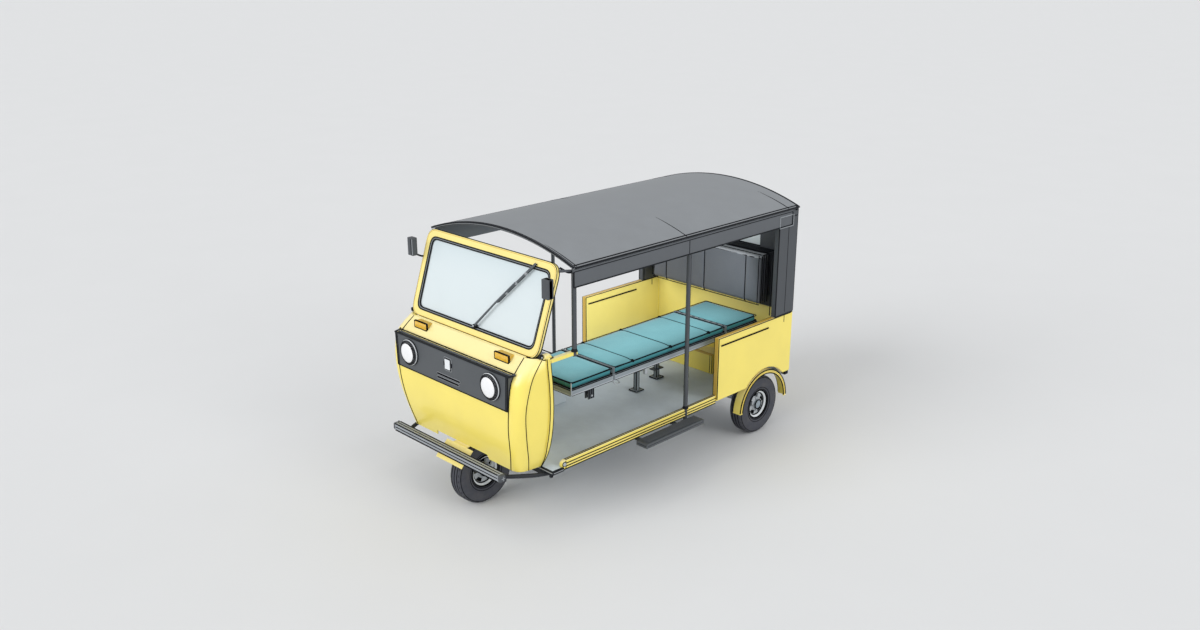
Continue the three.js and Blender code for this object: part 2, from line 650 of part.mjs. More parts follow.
// a tray of rails with a thin deck on top, and a hinge leaf at each named end
function cotFrame([frontY, backY], leafYs) {
  const rail = 25;
  const deckThick = 4;
  const tray = box(cotRight, cotLeft, frontY, backY, cotFrameLow, cotFrameTop);
  const inside = box(cotRight + rail, cotLeft - rail, frontY + rail, backY - rail,
    cotFrameLow - 1, cotFrameTop - deckThick);
  const leaves = leafYs.map((y) => box(cotRight, cotLeft, y, y + leafThick, cotFrameTop - 10, leafTop));
  return union(cut(tray, inside), ...leaves);
}

const cotPad = ([frontY, backY]) =>
  box(cotRight + 2, cotLeft - 2, frontY + padEndRoom, backY - padEndRoom, cotFrameTop + 1, cotTop);

const frontCot = [cotFrontY, cotFrontHingeY - hingeGap / 2];
const centreCot = [cotFrontHingeY + hingeGap / 2, cotRearHingeY - hingeGap / 2];
const rearCot = [cotRearHingeY + hingeGap / 2, cotRearY];

// legs between the floor and the centre section
const pedestals = [
  { x: 140, y: aft(1470) },
  { x: 75, y: aft(1745) },
];
const pedestalParts = pedestals.map(({ x, y }) => union(
  box(x - 38, x + 38, y - 38, y + 38, floorTop + gap, floorTop + 8),
  rod(at(x, y, floorTop + 4), at(x, y, cotFrameTop - 2), 16, 16),
  box(cotRight + 5, cotLeft - 5, y - 20, y + 20, cotFrameLow + 2, cotFrameTop - 2)));
const centreFrame = cotFrame(centreCot, [centreCot[0], centreCot[1] - leafThick]);
add('cot_frame_centre', union(centreFrame, ...pedestalParts), cotPaint);
add('cot_frame_front', cotFrame(frontCot, [frontCot[1] - leafThick]), cotPaint);
add('cot_frame_rear', cotFrame(rearCot, [rearCot[0]]), cotPaint);
add('cot_pad_centre', cotPad(centreCot), tealVinyl);
add('cot_pad_front', cotPad(frontCot), tealVinyl);
add('cot_pad_rear', cotPad(rearCot), tealVinyl);

// ---------- rear axle and wheels ----------

const onRearAxle = (x) => at(x, rearAxleY, axleZ);
const axleBeam = rod(onRearAxle(-470), onRearAxle(470), 28, 16);
const brakeDrum = rod(onRearAxle(462), onRearAxle(500), 85, 20);
const axleEnd = union(rod(onRearAxle(460), onRearAxle(568), 15, 12), brakeDrum);
const differential = solid(new THREE.SphereGeometry(95, 14, 9).translate(60, rearAxleY, axleZ));
const spring = { front: aft(1880), rear: aft(2500), low: 330, thick: 14, half: 22 };
function leafSpring(x) {
  const { front, rear, low, thick, half } = spring;
  const shape = new THREE.Shape();
  shape.moveTo(front, low);
  shape.quadraticCurveTo(rearAxleY, 178, rear, low);
  shape.lineTo(rear, low + thick);
  shape.quadraticCurveTo(rearAxleY, 200, front, low + thick);
  const hangers = [front, rear - half / 2].map((y) =>
    box(x - half, x + half, y - half / 2, y + half / 2, low, railTop - railDeep - gap));
  const saddle = box(x - half - 2, x + half + 2, rearAxleY - 32, rearAxleY + 32, axleZ, 262);
  return union(prism('side', shape, x - half, x + half, 8), saddle, ...hangers);
}
const springs = [railX, -railX].map(leafSpring);
add('rear_axle', union(axleBeam, axleEnd, mirrored(axleEnd), differential, ...springs), blackPaint);

// distance from the wheel's middle and radius
const tyreProfile = [
  [-44, rimRadius], [-tyreHalf, 142], [-tyreHalf, 184], [-47, 206], [-36, tyreRadius],
  [36, tyreRadius], [47, 206], [tyreHalf, 184], [tyreHalf, 142], [44, rimRadius]];
const rimEdge = rimRadius - gap;
const hubBore = 15.5;
const rimProfile = [
  [-44, rimEdge], [44, rimEdge], [46, rimEdge - 12], [26, 80], [8, 64], [30, 42], [34, hubBore],
  [-32, hubBore], [-32, 36], [-4, 66], [-30, 84], [-46, rimEdge - 12]];

const frontWheel = at(0, frontAxleY, axleZ);
const rearWheel = at(rearWheelX, rearAxleY, axleZ);
addPair('rear_tyre', turned(tyreProfile, rearWheel), rubber);
addPair('rear_rim', turned(rimProfile, rearWheel), rimPaint);
add('front_tyre', turned(tyreProfile, frontWheel), rubber);
add('front_rim', turned(rimProfile, frontWheel), rimPaint);

// ---------- steering ----------

const forkX = 86;
const crownZ = 466;
const forkLeg = (side) => rod(steerPoint(crownZ, side * forkX), at(side * forkX, frontAxleY, axleZ), 14, 16);
const crownY = steerAxisY(crownZ);
const crown = box(-forkX - 14, forkX + 14, crownY - 24, crownY + 24, crownZ - 10, crownZ + 12);
const frontAxle = rod(at(-forkX - 22, frontAxleY, axleZ), at(forkX + 22, frontAxleY, axleZ), 10, 16);
const barZ = 955;
const columnTop = barZ - 16;
const steerColumn = rod(steerPoint(crownZ), steerPoint(columnTop), 18, 20);
const guardTab = box(-40, 40, aft(225), crownY, 452, 458);
add('front_fork', union(forkLeg(1), forkLeg(-1), crown, frontAxle, steerColumn, guardTab), silverPaint);

const barTop = steerPoint(barZ);
const leftBar = [at(90, barTop.y, barZ), at(230, barTop.y + 4, barZ + 6), at(345, barTop.y + 35, barZ + 4)];
const rightBar = leftBar.map(({ x, y, z }) => at(-x, y, z));
const barClamp = rod(steerPoint(columnTop + gap), steerPoint(barZ + 16), 26, 20);
const gripBar = bentBar([...[...leftBar].reverse(), barTop, ...rightBar], 12, 20);
add('handlebar', union(gripBar, barClamp), blackPaint);

// side profile and half widths of the front mudguard
const guardPlates = [
  { half: 126, profile: [[aft(-46), 341], [aft(-35), 357], [aft(45), 431], [aft(48), 428],
    [aft(-33), 353], [aft(-43), 339]] },
  { half: 66, profile: [[aft(40), 426.4], [aft(45), 431], [aft(85), 434], [aft(205), 448],
    [aft(272), 448], [aft(272), 445], [aft(205), 445], [aft(86), 431], [aft(47), 428]] },
];
const guardParts = guardPlates.map(({ half, profile }) =>
  prism('side', [...profile].reverse(), -half, half));
add('front_mudguard', union(...guardParts), yellowPaint);

export default vehicle;
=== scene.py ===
import json
import math

import bpy
from mathutils import Matrix, Vector
from mathutils.bvhtree import BVHTree

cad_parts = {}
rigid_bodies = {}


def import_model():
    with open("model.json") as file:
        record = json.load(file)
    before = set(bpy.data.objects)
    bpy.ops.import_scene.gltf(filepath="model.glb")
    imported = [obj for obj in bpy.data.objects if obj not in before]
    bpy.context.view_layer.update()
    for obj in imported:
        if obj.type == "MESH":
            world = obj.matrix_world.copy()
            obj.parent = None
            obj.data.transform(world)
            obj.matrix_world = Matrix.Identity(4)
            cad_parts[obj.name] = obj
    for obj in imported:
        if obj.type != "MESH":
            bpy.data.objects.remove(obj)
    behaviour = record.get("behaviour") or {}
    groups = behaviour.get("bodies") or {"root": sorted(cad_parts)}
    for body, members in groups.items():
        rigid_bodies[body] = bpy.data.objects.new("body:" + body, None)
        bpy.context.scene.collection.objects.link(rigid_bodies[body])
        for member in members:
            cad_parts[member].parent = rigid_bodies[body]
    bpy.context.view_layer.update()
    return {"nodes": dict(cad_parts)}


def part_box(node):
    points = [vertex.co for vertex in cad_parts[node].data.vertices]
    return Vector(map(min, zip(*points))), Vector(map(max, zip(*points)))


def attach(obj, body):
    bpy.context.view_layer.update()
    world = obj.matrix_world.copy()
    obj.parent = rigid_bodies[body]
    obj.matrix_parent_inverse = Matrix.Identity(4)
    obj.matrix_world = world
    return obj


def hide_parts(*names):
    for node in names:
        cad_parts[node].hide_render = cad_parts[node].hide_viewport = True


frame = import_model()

print("frame loaded")

# An open ambulance rickshaw. Metres, nose along -Y, +X is its left side, ground at z = 0.
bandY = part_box("front_bumper")[0].y + 0.078  # front face of the dark band, the zero for depths


def aft(distance):
    return bandY + distance


def lowOf(node):
    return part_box(node)[0]


def highOf(node):
    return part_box(node)[1]


sides = {"left": 1, "right": -1}
lineWeight = 1.35  # how heavy the seam beads are

# finished pieces wait outside the view layer, so that each further operator stays quick
waiting = bpy.data.collections.new("waiting")
bpy.context.scene.collection.children.link(waiting)
bpy.context.view_layer.layer_collection.children["waiting"].exclude = True

view = {"place": (4.951, -4.904, 3.352), "turn": (71.231, 0, 45.153), "lens": 33.05}
bpy.ops.object.camera_add(location=view["place"], rotation=[math.radians(a) for a in view["turn"]])
camera = bpy.context.object
camera.data.lens = view["lens"]
camera.data.sensor_width = 36
camera.data.clip_end = 400
bpy.context.scene.camera = camera


# selecting and finishing

def deselect():
    if bpy.context.object and bpy.context.object.mode != "OBJECT":
        bpy.ops.object.mode_set(mode="OBJECT")
    for piece in bpy.context.selected_objects:
        piece.select_set(False)


def alone(piece):
    deselect()
    piece.select_set(True)
    bpy.context.view_layer.objects.active = piece


def editAll(piece):
    alone(piece)
    bpy.ops.object.mode_set(mode="EDIT")
    bpy.ops.mesh.select_mode(type="VERT")
    bpy.ops.mesh.select_all(action="SELECT")


def objectMode():
    bpy.ops.object.mode_set(mode="OBJECT")


def faceMode(piece, test):
    # edit mode with just the faces that pass the test selected
    alone(piece)
    for part in (piece.data.vertices, piece.data.edges):
        for item in part:
            item.select = False
    for face in piece.data.polygons:
        face.select = bool(test(face))
    bpy.ops.object.mode_set(mode="EDIT")
    bpy.ops.mesh.select_mode(type="FACE")


def slide(way):
    # pulls what is selected along, with new faces behind it
    bpy.ops.mesh.extrude_region_move(TRANSFORM_OT_translate={"value": Vector(way)})
    objectMode()


def named(name):
    piece = bpy.context.object
    piece.name = name
    piece.data.name = name
    return piece


def joined(name, pieces):
    deselect()
    for piece in pieces:
        piece.select_set(True)
    bpy.context.view_layer.objects.active = pieces[0]
    bpy.ops.object.join()
    return named(name)


def settle(piece):
    alone(piece)
    bpy.ops.object.transform_apply(location=True, rotation=True, scale=True)
    return piece


def facesOut(piece, merge=1e-5):
    editAll(piece)
    bpy.ops.mesh.remove_doubles(threshold=merge)
    bpy.ops.mesh.normals_make_consistent(inside=False)
    objectMode()
    return piece


def modified(piece, kind, **settings):
    alone(piece)
    bpy.ops.object.modifier_add(type=kind)
    modifier = piece.modifiers[-1]
    for key, value in settings.items():
        setattr(modifier, key, value)
    bpy.ops.object.modifier_apply(modifier=modifier.name)
    return piece


def smoothed(piece, angle=38):
    alone(piece)
    bpy.ops.object.shade_smooth_by_angle(angle=math.radians(angle))
    return piece


def eased(piece, width=0.002, segments=2, corner=32):
    # rounds every sharp edge, then keeps the flats flat under smooth shading
    modified(piece, "BEVEL", width=width, segments=segments, limit_method="ANGLE",
             angle_limit=math.radians(corner), use_clamp_overlap=True, miter_outer="MITER_ARC")
    smoothed(piece)
    return modified(piece, "WEIGHTED_NORMAL", keep_sharp=True, weight=60)


def dressed(piece, finish, body="body", stands=()):
    # gives a piece its finish and its body, and hides the imported node that it stands for
    piece.data.materials.clear()
    piece.data.materials.append(finish)
    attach(piece, body)
    if stands:
        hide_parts(stands)
    for home in list(piece.users_collection):
        home.objects.unlink(piece)
    waiting.objects.link(piece)
    return piece


def twoTone(piece, other, test, index=1):
    # a second finish on the faces that pass the test
    if len(piece.data.materials) <= index:
        piece.data.materials.append(other)
    for face in piece.data.polygons:
        if test(face):
            face.material_index = index


# starting shapes

def block(name, low, high):
    low, high = Vector(low), Vector(high)
    deselect()
    bpy.ops.mesh.primitive_cube_add(size=1, location=(low + high) / 2)
    piece = named(name)
    piece.scale = high - low
    return settle(piece)


def bar(name, start, end, radius, facets=24):
    start, end = Vector(start), Vector(end)
    deselect()
    turn = (end - start).to_track_quat("Z", "Y").to_euler()
    bpy.ops.mesh.primitive_cylinder_add(vertices=facets, radius=radius, depth=(end - start).length,
                                        location=(start + end) / 2, rotation=turn)
    return settle(named(name))


def traced(name, points, fill=True):
    # an outline drawn by pulling one vertex along
    points = [Vector(p) for p in points]
    deselect()
    bpy.ops.mesh.primitive_plane_add(size=0.001, location=points[0])
    piece = settle(named(name))
    editAll(piece)
    bpy.ops.mesh.merge(type="CENTER")
    for here, there in zip(points, points[1:]):
        bpy.ops.mesh.extrude_vertices_move(TRANSFORM_OT_translate={"value": there - here})
    if fill:
        bpy.ops.mesh.select_all(action="SELECT")
        bpy.ops.mesh.edge_face_add()
    objectMode()
    return piece


def pushed(piece, way):
    editAll(piece)
    slide(way)
    return facesOut(piece)


def spun(name, profile, centre, axis=(1, 0, 0), steps=64):
    piece = traced(name, profile, fill=False)
    editAll(piece)
    bpy.ops.mesh.spin(steps=steps, angle=2 * math.pi, center=centre, axis=axis)
    objectMode()
    return facesOut(piece, 2e-5)


def bead(name, points, radius, closed=False, facets=3):
    deselect()
    bpy.ops.curve.primitive_bezier_curve_add()
    curve = named(name).data
    curve.splines.clear()
    spline = curve.splines.new("POLY")
    spline.points.add(len(points) - 1)
    for spot, point in zip(spline.points, points):
        spot.co = (*point, 1)
    spline.use_cyclic_u = closed
    curve.dimensions = "3D"
    curve.bevel_depth = radius * lineWeight
    curve.bevel_resolution = facets
    curve.use_fill_caps = True
    bpy.ops.object.convert(target="MESH")
    piece = modified(bpy.context.object, "WELD", merge_threshold=1e-6)
    return smoothed(piece, 60)


def curved(points, steps=8):
    # a smooth line through the points
    points = [Vector(p) for p in points]
    ends = [2 * points[0] - points[1], *points, 2 * points[-1] - points[-2]]
    line = []
    for a, b, c, d in zip(ends, ends[1:], ends[2:], ends[3:]):
        for i in range(steps):
            t = i / steps
            line.append(0.5 * ((2 * b) + (c - a) * t + (2 * a - 5 * b + 4 * c - d) * t ** 2
                               + (3 * b - 3 * c + d - a) * t ** 3))
    return line + [points[-1]]


def roundedLoop(middle, plane, width, depth, radius, steps=5):
    # a rounded rectangle about its middle, anticlockwise, in the plane of two axes
    across, up = ("xyz".index(axis) for axis in plane)
    loop = []
    for i, (sx, sy) in enumerate([(1, 1), (-1, 1), (-1, -1), (1, -1)]):
        for k in range(steps + 1):
            angle = math.radians(90 * (i + k / steps))
            spot = Vector(middle)
            spot[across] += sx * (width / 2 - radius) + radius * math.cos(angle)
            spot[up] += sy * (depth / 2 - radius) + radius * math.sin(angle)
            loop.append(spot)
    return loop


def copied(node, suffix="shell", flat=0.4):
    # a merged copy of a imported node, its flat faces made whole
    source = frame["nodes"][node]
    piece = source.copy()
    piece.data = source.data.copy()
    piece.name = f"{node}_{suffix}"
    piece.parent = None
    for key in list(piece.keys()):
        del piece[key]
    piece.matrix_world = Matrix.Identity(4)
    bpy.context.scene.collection.objects.link(piece)
    piece.hide_render = piece.hide_viewport = False
    piece.hide_set(False)
    alone(piece)
    bpy.ops.mesh.customdata_custom_splitnormals_clear()
    editAll(piece)
    bpy.ops.mesh.remove_doubles(threshold=2e-5)
    bpy.ops.mesh.dissolve_limited(angle_limit=math.radians(flat))
    objectMode()
    return piece


# whole pieces, made and dressed in one go

def seam(name, points, thick, finish=None, body="body", closed=False, facets=3):
    line = bead(name, [Vector(p) for p in points], thick, closed, facets)
    return dressed(line, finish or seamBlack, body)


def slab(name, low, high, edge, segments, finish, body="body", stands=()):
    # a block with rounded edges; its two x may come in either order
    (x0, y0, z0), (x1, y1, z1) = low, high
    piece = block(name, (min(x0, x1), y0, z0), (max(x0, x1), y1, z1))
    return dressed(eased(piece, edge, segments), finish, body, stands)


def pin(name, start, end, radius, facets, edge, segments, finish, body="body", stands=()):
    piece = bar(name, start, end, radius, facets)
    return dressed(eased(piece, edge, segments), finish, body, stands)


def hoop(name, place, turn, radius, thick, steps, facets, smoothing, finish, body="body"):
    deselect()
    bpy.ops.mesh.primitive_torus_add(location=place, rotation=turn, major_radius=radius, minor_radius=thick,
                                     major_segments=steps, minor_segments=facets)
    return dressed(smoothed(settle(named(name)), smoothing), finish, body)


def turned(name, profile, place, axis, steps, smoothing, finish, body="body", stands=()):
    # a lathe piece: the profile is (radius, distance along the axis)
    line = [place + Vector((radius, 0, 0)) + Vector(axis) * reach for radius, reach in profile]
    return dressed(smoothed(spun(name, line, place, axis, steps), smoothing), finish, body, stands)


def shell(node, finish, edge=0.003, segments=2, body="body", corner=32):
    return dressed(eased(copied(node), edge, segments, corner), finish, body, node)


# shader helpers

class Wire:
    # a socket that takes Python's arithmetic: each operator adds one Math node

    def __init__(self, sheet, socket):
        self.sheet = sheet
        self.socket = socket

    def maths(self, operation, *others):
        return self.sheet.node("Math", {"operation": operation}, dict(enumerate([self, *others])))

    def __add__(self, other):
        return self.maths("ADD", other)

    __radd__ = __add__

    def __mul__(self, other):
        return self.maths("MULTIPLY", other)

    __rmul__ = __mul__

    def __sub__(self, other):
        return self.maths("SUBTRACT", other)

    def __rsub__(self, other):
        return self.sheet.node("Math", {"operation": "SUBTRACT"}, {0: other, 1: self})


class Sheet:
    # one material and its nodes

    def __init__(self, name):
        self.material = bpy.data.materials.new(name)
        self.material.use_nodes = True
        self.tree = self.material.node_tree
        self.tree.nodes.clear()
        self.place = self.node("TexCoord", out="Object")

    def node(self, kind, settings=None, inputs=None, out=0):
        made = self.tree.nodes.new("ShaderNode" + kind)
        for key, value in (settings or {}).items():
            if key == "stops":
                ramp = made.color_ramp
                while len(ramp.elements) < len(value):
                    ramp.elements.new(0.5)
                for stop, (spot, tone) in zip(ramp.elements, value):
                    stop.position = spot
                    stop.color = (tone, tone, tone, 1)
            else:
                setattr(made, key, value)
        for key, value in (inputs or {}).items():
            if isinstance(value, Wire):
                self.tree.links.new(value.socket, made.inputs[key])
            else:
                made.inputs[key].default_value = value
        return Wire(self, made.outputs[out]) if out is not None else None

    def noise(self, scale, detail=3, rough=0.55, stretch=None):
        place = self.place
        if stretch:
            place = self.node("Mapping", {}, {"Vector": place, "Scale": stretch})
        return self.node("TexNoise", {}, {"Vector": place, "Scale": scale, "Detail": detail,
                                          "Roughness": rough})

    def ramp(self, factor, *stops):
        return self.node("ValToRGB", {"stops": stops}, {"Fac": factor})

    def mixed(self, factor, one, two):
        return self.node("Mix", {"data_type": "RGBA"}, {0: factor, 6: one, 7: two}, out=2)

    def height(self, low, high):
        # 0 at height low, 1 at height high
        z = self.node("SeparateXYZ", {}, {0: self.place}, out=2)
        return self.node("MapRange", {"interpolation_type": "SMOOTHSTEP"},
                         {0: z, 1: low, 2: high, 3: 0.0, 4: 1.0})

    def bump(self, height, strength, distance, under=None):
        inputs = {"Height": height, "Strength": strength, "Distance": distance}
        if under:
            inputs["Normal"] = under
        return self.node("Bump", {}, inputs)

    def surface(self, **sockets):
        inputs = {key.replace("_", " "): value for key, value in sockets.items()}
        shader = self.node("BsdfPrincipled", {}, inputs)
        self.node("OutputMaterial", {}, {"Surface": shader}, out=None)
        return self.material


def shade(red, green, blue):
    # a screen colour, 0 to 255, as the shader's linear values
    def linear(part):
        part /= 255
        return part / 12.92 if part <= 0.04045 else ((part + 0.055) / 1.055) ** 2.4
    return (linear(red), linear(green), linear(blue), 1)


def dimmed(colour, share):
    return (*[part * share for part in colour[:3]], 1)

# finishes

def enamel(name, colour, gloss=0.34, dust=0.04, coat=0.5, topHighlight=0.0):
    # sprayed body paint: faint colour drift, orange peel, road dust low down, scuffed patches, and upward
    # faces painted paler as a painted highlight
    sheet = Sheet(name)
    drift = sheet.ramp(sheet.noise(3.2, 4), (0.3, 0), (0.7, 1))
    paint = sheet.mixed(drift, dimmed(colour, 0.965), dimmed(colour, 1.03))
    low = 1 - sheet.height(0.30, 0.72)
    grime = low * sheet.ramp(sheet.noise(9, 6, 0.65), (0.42, 0), (0.78, 1)) * dust
    paint = sheet.mixed(grime, paint, shade(150, 134, 104))
    # upward-facing faces are painted paler: a painted highlight for light falling from above
    up = sheet.node("SeparateXYZ", {}, {0: sheet.node("TexCoord", out="Normal")}, out=2)
    paintedTopLight = sheet.ramp(up, (0.25, 0), (0.85, 1)) * (topHighlight * (0.88 + 0.12 * drift))
    paint = sheet.mixed(paintedTopLight, paint, shade(255, 246, 214))
    scuffs = sheet.ramp(sheet.noise(38, 5, 0.7, (1, 0.25, 1)), (0.62, 0), (0.74, 1))
    rough = gloss + 0.10 * scuffs + 0.30 * grime + 0.05 * drift
    peel = sheet.bump(sheet.noise(420, 2, 0.5), 0.10, 0.0006)
    wave = sheet.bump(sheet.noise(11, 2, 0.4), 0.06, 0.004, peel)
    return sheet.surface(Base_Color=paint, Roughness=rough, Normal=wave, Coat_Weight=coat,
                         Coat_Roughness=0.18)


def satin(name, colour, gloss=0.5, speck=0.10, metal=0.0, grain=640, coat=0.0, shine=0.5):
    # powder coat and primer: fine tooth, a little chalky wear
    sheet = Sheet(name)
    worn = sheet.ramp(sheet.noise(7, 6, 0.66), (0.35, 0), (0.75, 1))
    paint = sheet.mixed(worn, dimmed(colour, 1 - speck * 0.6), dimmed(colour, 1 + speck * 0.5))
    streaks = sheet.ramp(sheet.noise(55, 4, 0.7, (1, 1, 0.2)), (0.56, 0), (0.8, 1))
    paint = sheet.mixed(streaks * 0.22, paint, dimmed(colour, 1 + speck * 2))
    rough = gloss + 0.10 * worn + 0.08 * streaks
    tooth = sheet.bump(sheet.noise(grain, 3, 0.6), 0.16, 0.0007)
    return sheet.surface(Base_Color=paint, Roughness=rough, Normal=tooth, Metallic=metal,
                         Coat_Weight=coat, Coat_Roughness=0.25, Specular_IOR_Level=shine)


def leatherette(name, colour, grain=300, sheen=0.15):
    # coated cloth: pebble grain, soft creases, polished where bodies rub
    sheet = Sheet(name)
    pebble = sheet.ramp(sheet.node("TexVoronoi", {"feature": "DISTANCE_TO_EDGE"},
                                   {"Vector": sheet.place, "Scale": grain}), (0.0, 0), (0.16, 1))
    crease = sheet.noise(16, 5, 0.7)
    rubbed = sheet.ramp(sheet.noise(4.5, 4), (0.38, 0), (0.7, 1))
    tone = sheet.mixed(rubbed, dimmed(colour, 0.95), dimmed(colour, 1.04))
    tone = sheet.mixed((1 - pebble) * 0.28, tone, dimmed(colour, 0.62))
    rough = 0.60 - 0.10 * rubbed + 0.10 * (1 - pebble)
    fine = sheet.bump(pebble, 0.22, 0.0006)
    folds = sheet.bump(crease, 0.20, 0.006, fine)
    return sheet.surface(Base_Color=tone, Roughness=rough, Normal=folds, Sheen_Weight=sheen,
                         Sheen_Roughness=0.5)


def rubbery(name, colour, rough=0.82, dust=0.35, shine=0.35):
    sheet = Sheet(name)
    dry = sheet.ramp(sheet.noise(14, 6, 0.7), (0.42, 0), (0.8, 1))
    tone = sheet.mixed(dry * dust, colour, shade(122, 116, 106))
    fine = sheet.bump(sheet.noise(520, 3, 0.6), 0.20, 0.0006)
    return sheet.surface(Base_Color=tone, Roughness=rough - 0.08 * dry, Normal=fine,
                         Specular_IOR_Level=shine)


def plated(name, colour, rough=0.30):
    # drawn steel and zinc plate
    sheet = Sheet(name)
    tint = sheet.ramp(sheet.noise(24, 5, 0.6), (0.35, 0), (0.7, 1))
    tone = sheet.mixed(tint, dimmed(colour, 0.86), colour)
    drawn = sheet.noise(180, 3, 0.6, (1, 1, 0.08))
    return sheet.surface(Base_Color=tone, Metallic=0.85, Roughness=rough + 0.14 * drawn,
                         Normal=sheet.bump(drawn, 0.06, 0.0005))


def lens(name, colour, ribs=0.006):
    # moulded lamp glass with fine flutes
    sheet = Sheet(name)
    x = sheet.node("SeparateXYZ", {}, {0: sheet.place}, out=0)
    flute = (x * (2 * math.pi / ribs)).maths("SINE")
    haze = sheet.ramp(sheet.noise(60, 4), (0.4, 0), (0.75, 1))
    tone = sheet.mixed(haze * 0.5, colour, dimmed(colour, 0.9))
    return sheet.surface(Base_Color=tone, Roughness=0.12 + 0.08 * haze, Coat_Weight=0.8,
                         Normal=sheet.bump(flute, 0.25, 0.0008), Coat_Roughness=0.04)


def paneGlass():
    # pale laminated glass, nearly opaque, with a faint tint band at the head
    sheet = Sheet("paneGlass")
    head = sheet.height(1.40, 1.62)
    smear = sheet.ramp(sheet.noise(5, 6, 0.7, (1, 1, 2.5)), (0.40, 0), (0.78, 1))
    tone = sheet.mixed(head, shade(222, 232, 235), shade(212, 224, 228))
    return sheet.surface(Base_Color=tone, Roughness=0.16 + 0.14 * smear, Alpha=0.88 + 0.05 * head,
                         Coat_Weight=0.15, Coat_Roughness=0.06, Specular_IOR_Level=0.3)


# the yellow paint's upward faces carry a painted highlight
yellowSide = enamel("yellowSide", shade(246, 226, 106), topHighlight=0.56)
# a brighter copy of the yellow paint for the inner faces: painted light that lifts the shade inside the body
yellowInsidePaintedLight = enamel("yellowInsidePaintedLight", shade(253, 238, 138), topHighlight=0.2)
yellowPale = enamel("yellowPale", shade(247, 229, 140))
# deep yellow: the indicator bodies and fine lines, and painted shade on the side rail caps
yellowDeepAndShade = enamel("yellowDeepAndShade", shade(205, 166, 60), gloss=0.42)
darkPanel = satin("darkPanel", shade(70, 74, 79), 0.54)
# a lighter copy of the dark panel grey for the valances: painted light against the shade of the roof's
# overhang
valanceGreyPaintedLight = satin("valanceGreyPaintedLight", shade(88, 92, 97), 0.54)
bumperGrey = satin("bumperGrey", shade(150, 155, 160), 0.46)
lampGrey = satin("lampGrey", shade(150, 154, 158), 0.40)
roofGrey = satin("roofGrey", shade(134, 138, 142), 0.52)
bandGrey = satin("bandGrey", shade(77, 81, 85), 0.50)
# the floor grey is paler than the floor itself: painted light that lifts the shade under the roof
floorGreyPaintedLight = satin("floorGreyPaintedLight", shade(202, 212, 219), 0.66, speck=0.12, grain=300)
chassisBlack = satin("chassisBlack", shade(44, 47, 52), 0.55, speck=0.2, shine=0.25)
trimBlack = satin("trimBlack", shade(24, 27, 32), 0.55, speck=0.15, shine=0.18)
seamBlack = rubbery("seamBlack", shade(15, 17, 21), 0.75, 0.04, 0.08)
cotGrey = satin("cotGrey", shade(138, 147, 153), 0.42, metal=0.1)
cotDark = satin("cotDark", shade(58, 64, 70), 0.5)
bladeGrey = satin("bladeGrey", shade(82, 87, 92), 0.50, shine=0.3)
# a greyer copy of the rim's paint for the recessed disc: painted shade
rimGreyPaintedShade = satin("rimGreyPaintedShade", shade(172, 177, 181), 0.38, speck=0.12)
rimWhite = satin("rimWhite", shade(226, 230, 233), 0.34, speck=0.05, coat=0.3)
hubBlue = satin("hubBlue", shade(146, 158, 167), 0.4)
forkGrey = satin("forkGrey", shade(176, 182, 187), 0.42, metal=0.2)
steelBright = plated("steelBright", shade(205, 209, 212))
tealTop = leatherette("tealTop", shade(85, 140, 147))
tealSide = leatherette("tealSide", shade(47, 132, 140))
darkTrim = leatherette("darkTrim", shade(90, 94, 101), grain=260)
trimRoll = leatherette("trimRoll", shade(142, 146, 151), grain=260)
tyreRubber = rubbery("tyreRubber", shade(68, 70, 78), dust=0.22)
gasketRubber = rubbery("gasketRubber", shade(20, 22, 27), 0.66, 0.06, 0.12)
gasketGrey = rubbery("gasketGrey", shade(140, 146, 150), 0.55, 0.10)
lensWhite = lens("lensWhite", shade(240, 241, 243))
lensAmber = lens("lensAmber", shade(238, 188, 56))
lensRed = lens("lensRed", shade(188, 44, 38))
mirrorGlass = plated("mirrorGlass", shade(214, 222, 228), 0.04)
screenGlass = paneGlass()
print("finishes mixed")

# studio

def paleFloor(name, colour):
    # a plain matt surface that takes the object's shadow
    sheet = Sheet(name)
    mottle = sheet.ramp(sheet.noise(1.4, 3), (0.3, 0), (0.7, 1))
    tone = sheet.mixed(mottle, dimmed(colour, 0.99), colour)
    return sheet.surface(Base_Color=tone, Roughness=0.9, Specular_IOR_Level=0.1)


studio = {"floor": shade(224, 225, 226), "half": 90.0, "world": 0.66,
          "lamps": (("front_light", 1.55, (62, 0, -10), 40), ("side_light", 0.60, (57, 0, 98), 30),
                    ("low_light", 0.50, (80, 0, 94), 30)),
          # soft panels inside, unseen themselves, open up the shade under the roof
          "panels": (("cabin_light", (0, aft(1.35), 1.585), (0, 0, 0), (1.0, 1.9), 6.0),
                     ("cabin_fill", (0.480, aft(1.35), 1.200), (0, 79, 0), (0.30, 1.7), 8.0))}
deselect()
bpy.ops.mesh.primitive_plane_add(size=2 * studio["half"], location=(0, 0, 0))
studioFloor = named("studio_floor")
studioFloor.data.materials.append(paleFloor("floorTone", studio["floor"]))

world = bpy.data.worlds.new("studio")
bpy.context.scene.world = world
world.use_nodes = True
worldBack = world.node_tree.nodes["Background"]
worldBack.inputs["Color"].default_value = (0.985, 0.992, 1.0, 1)
worldBack.inputs["Strength"].default_value = studio["world"]

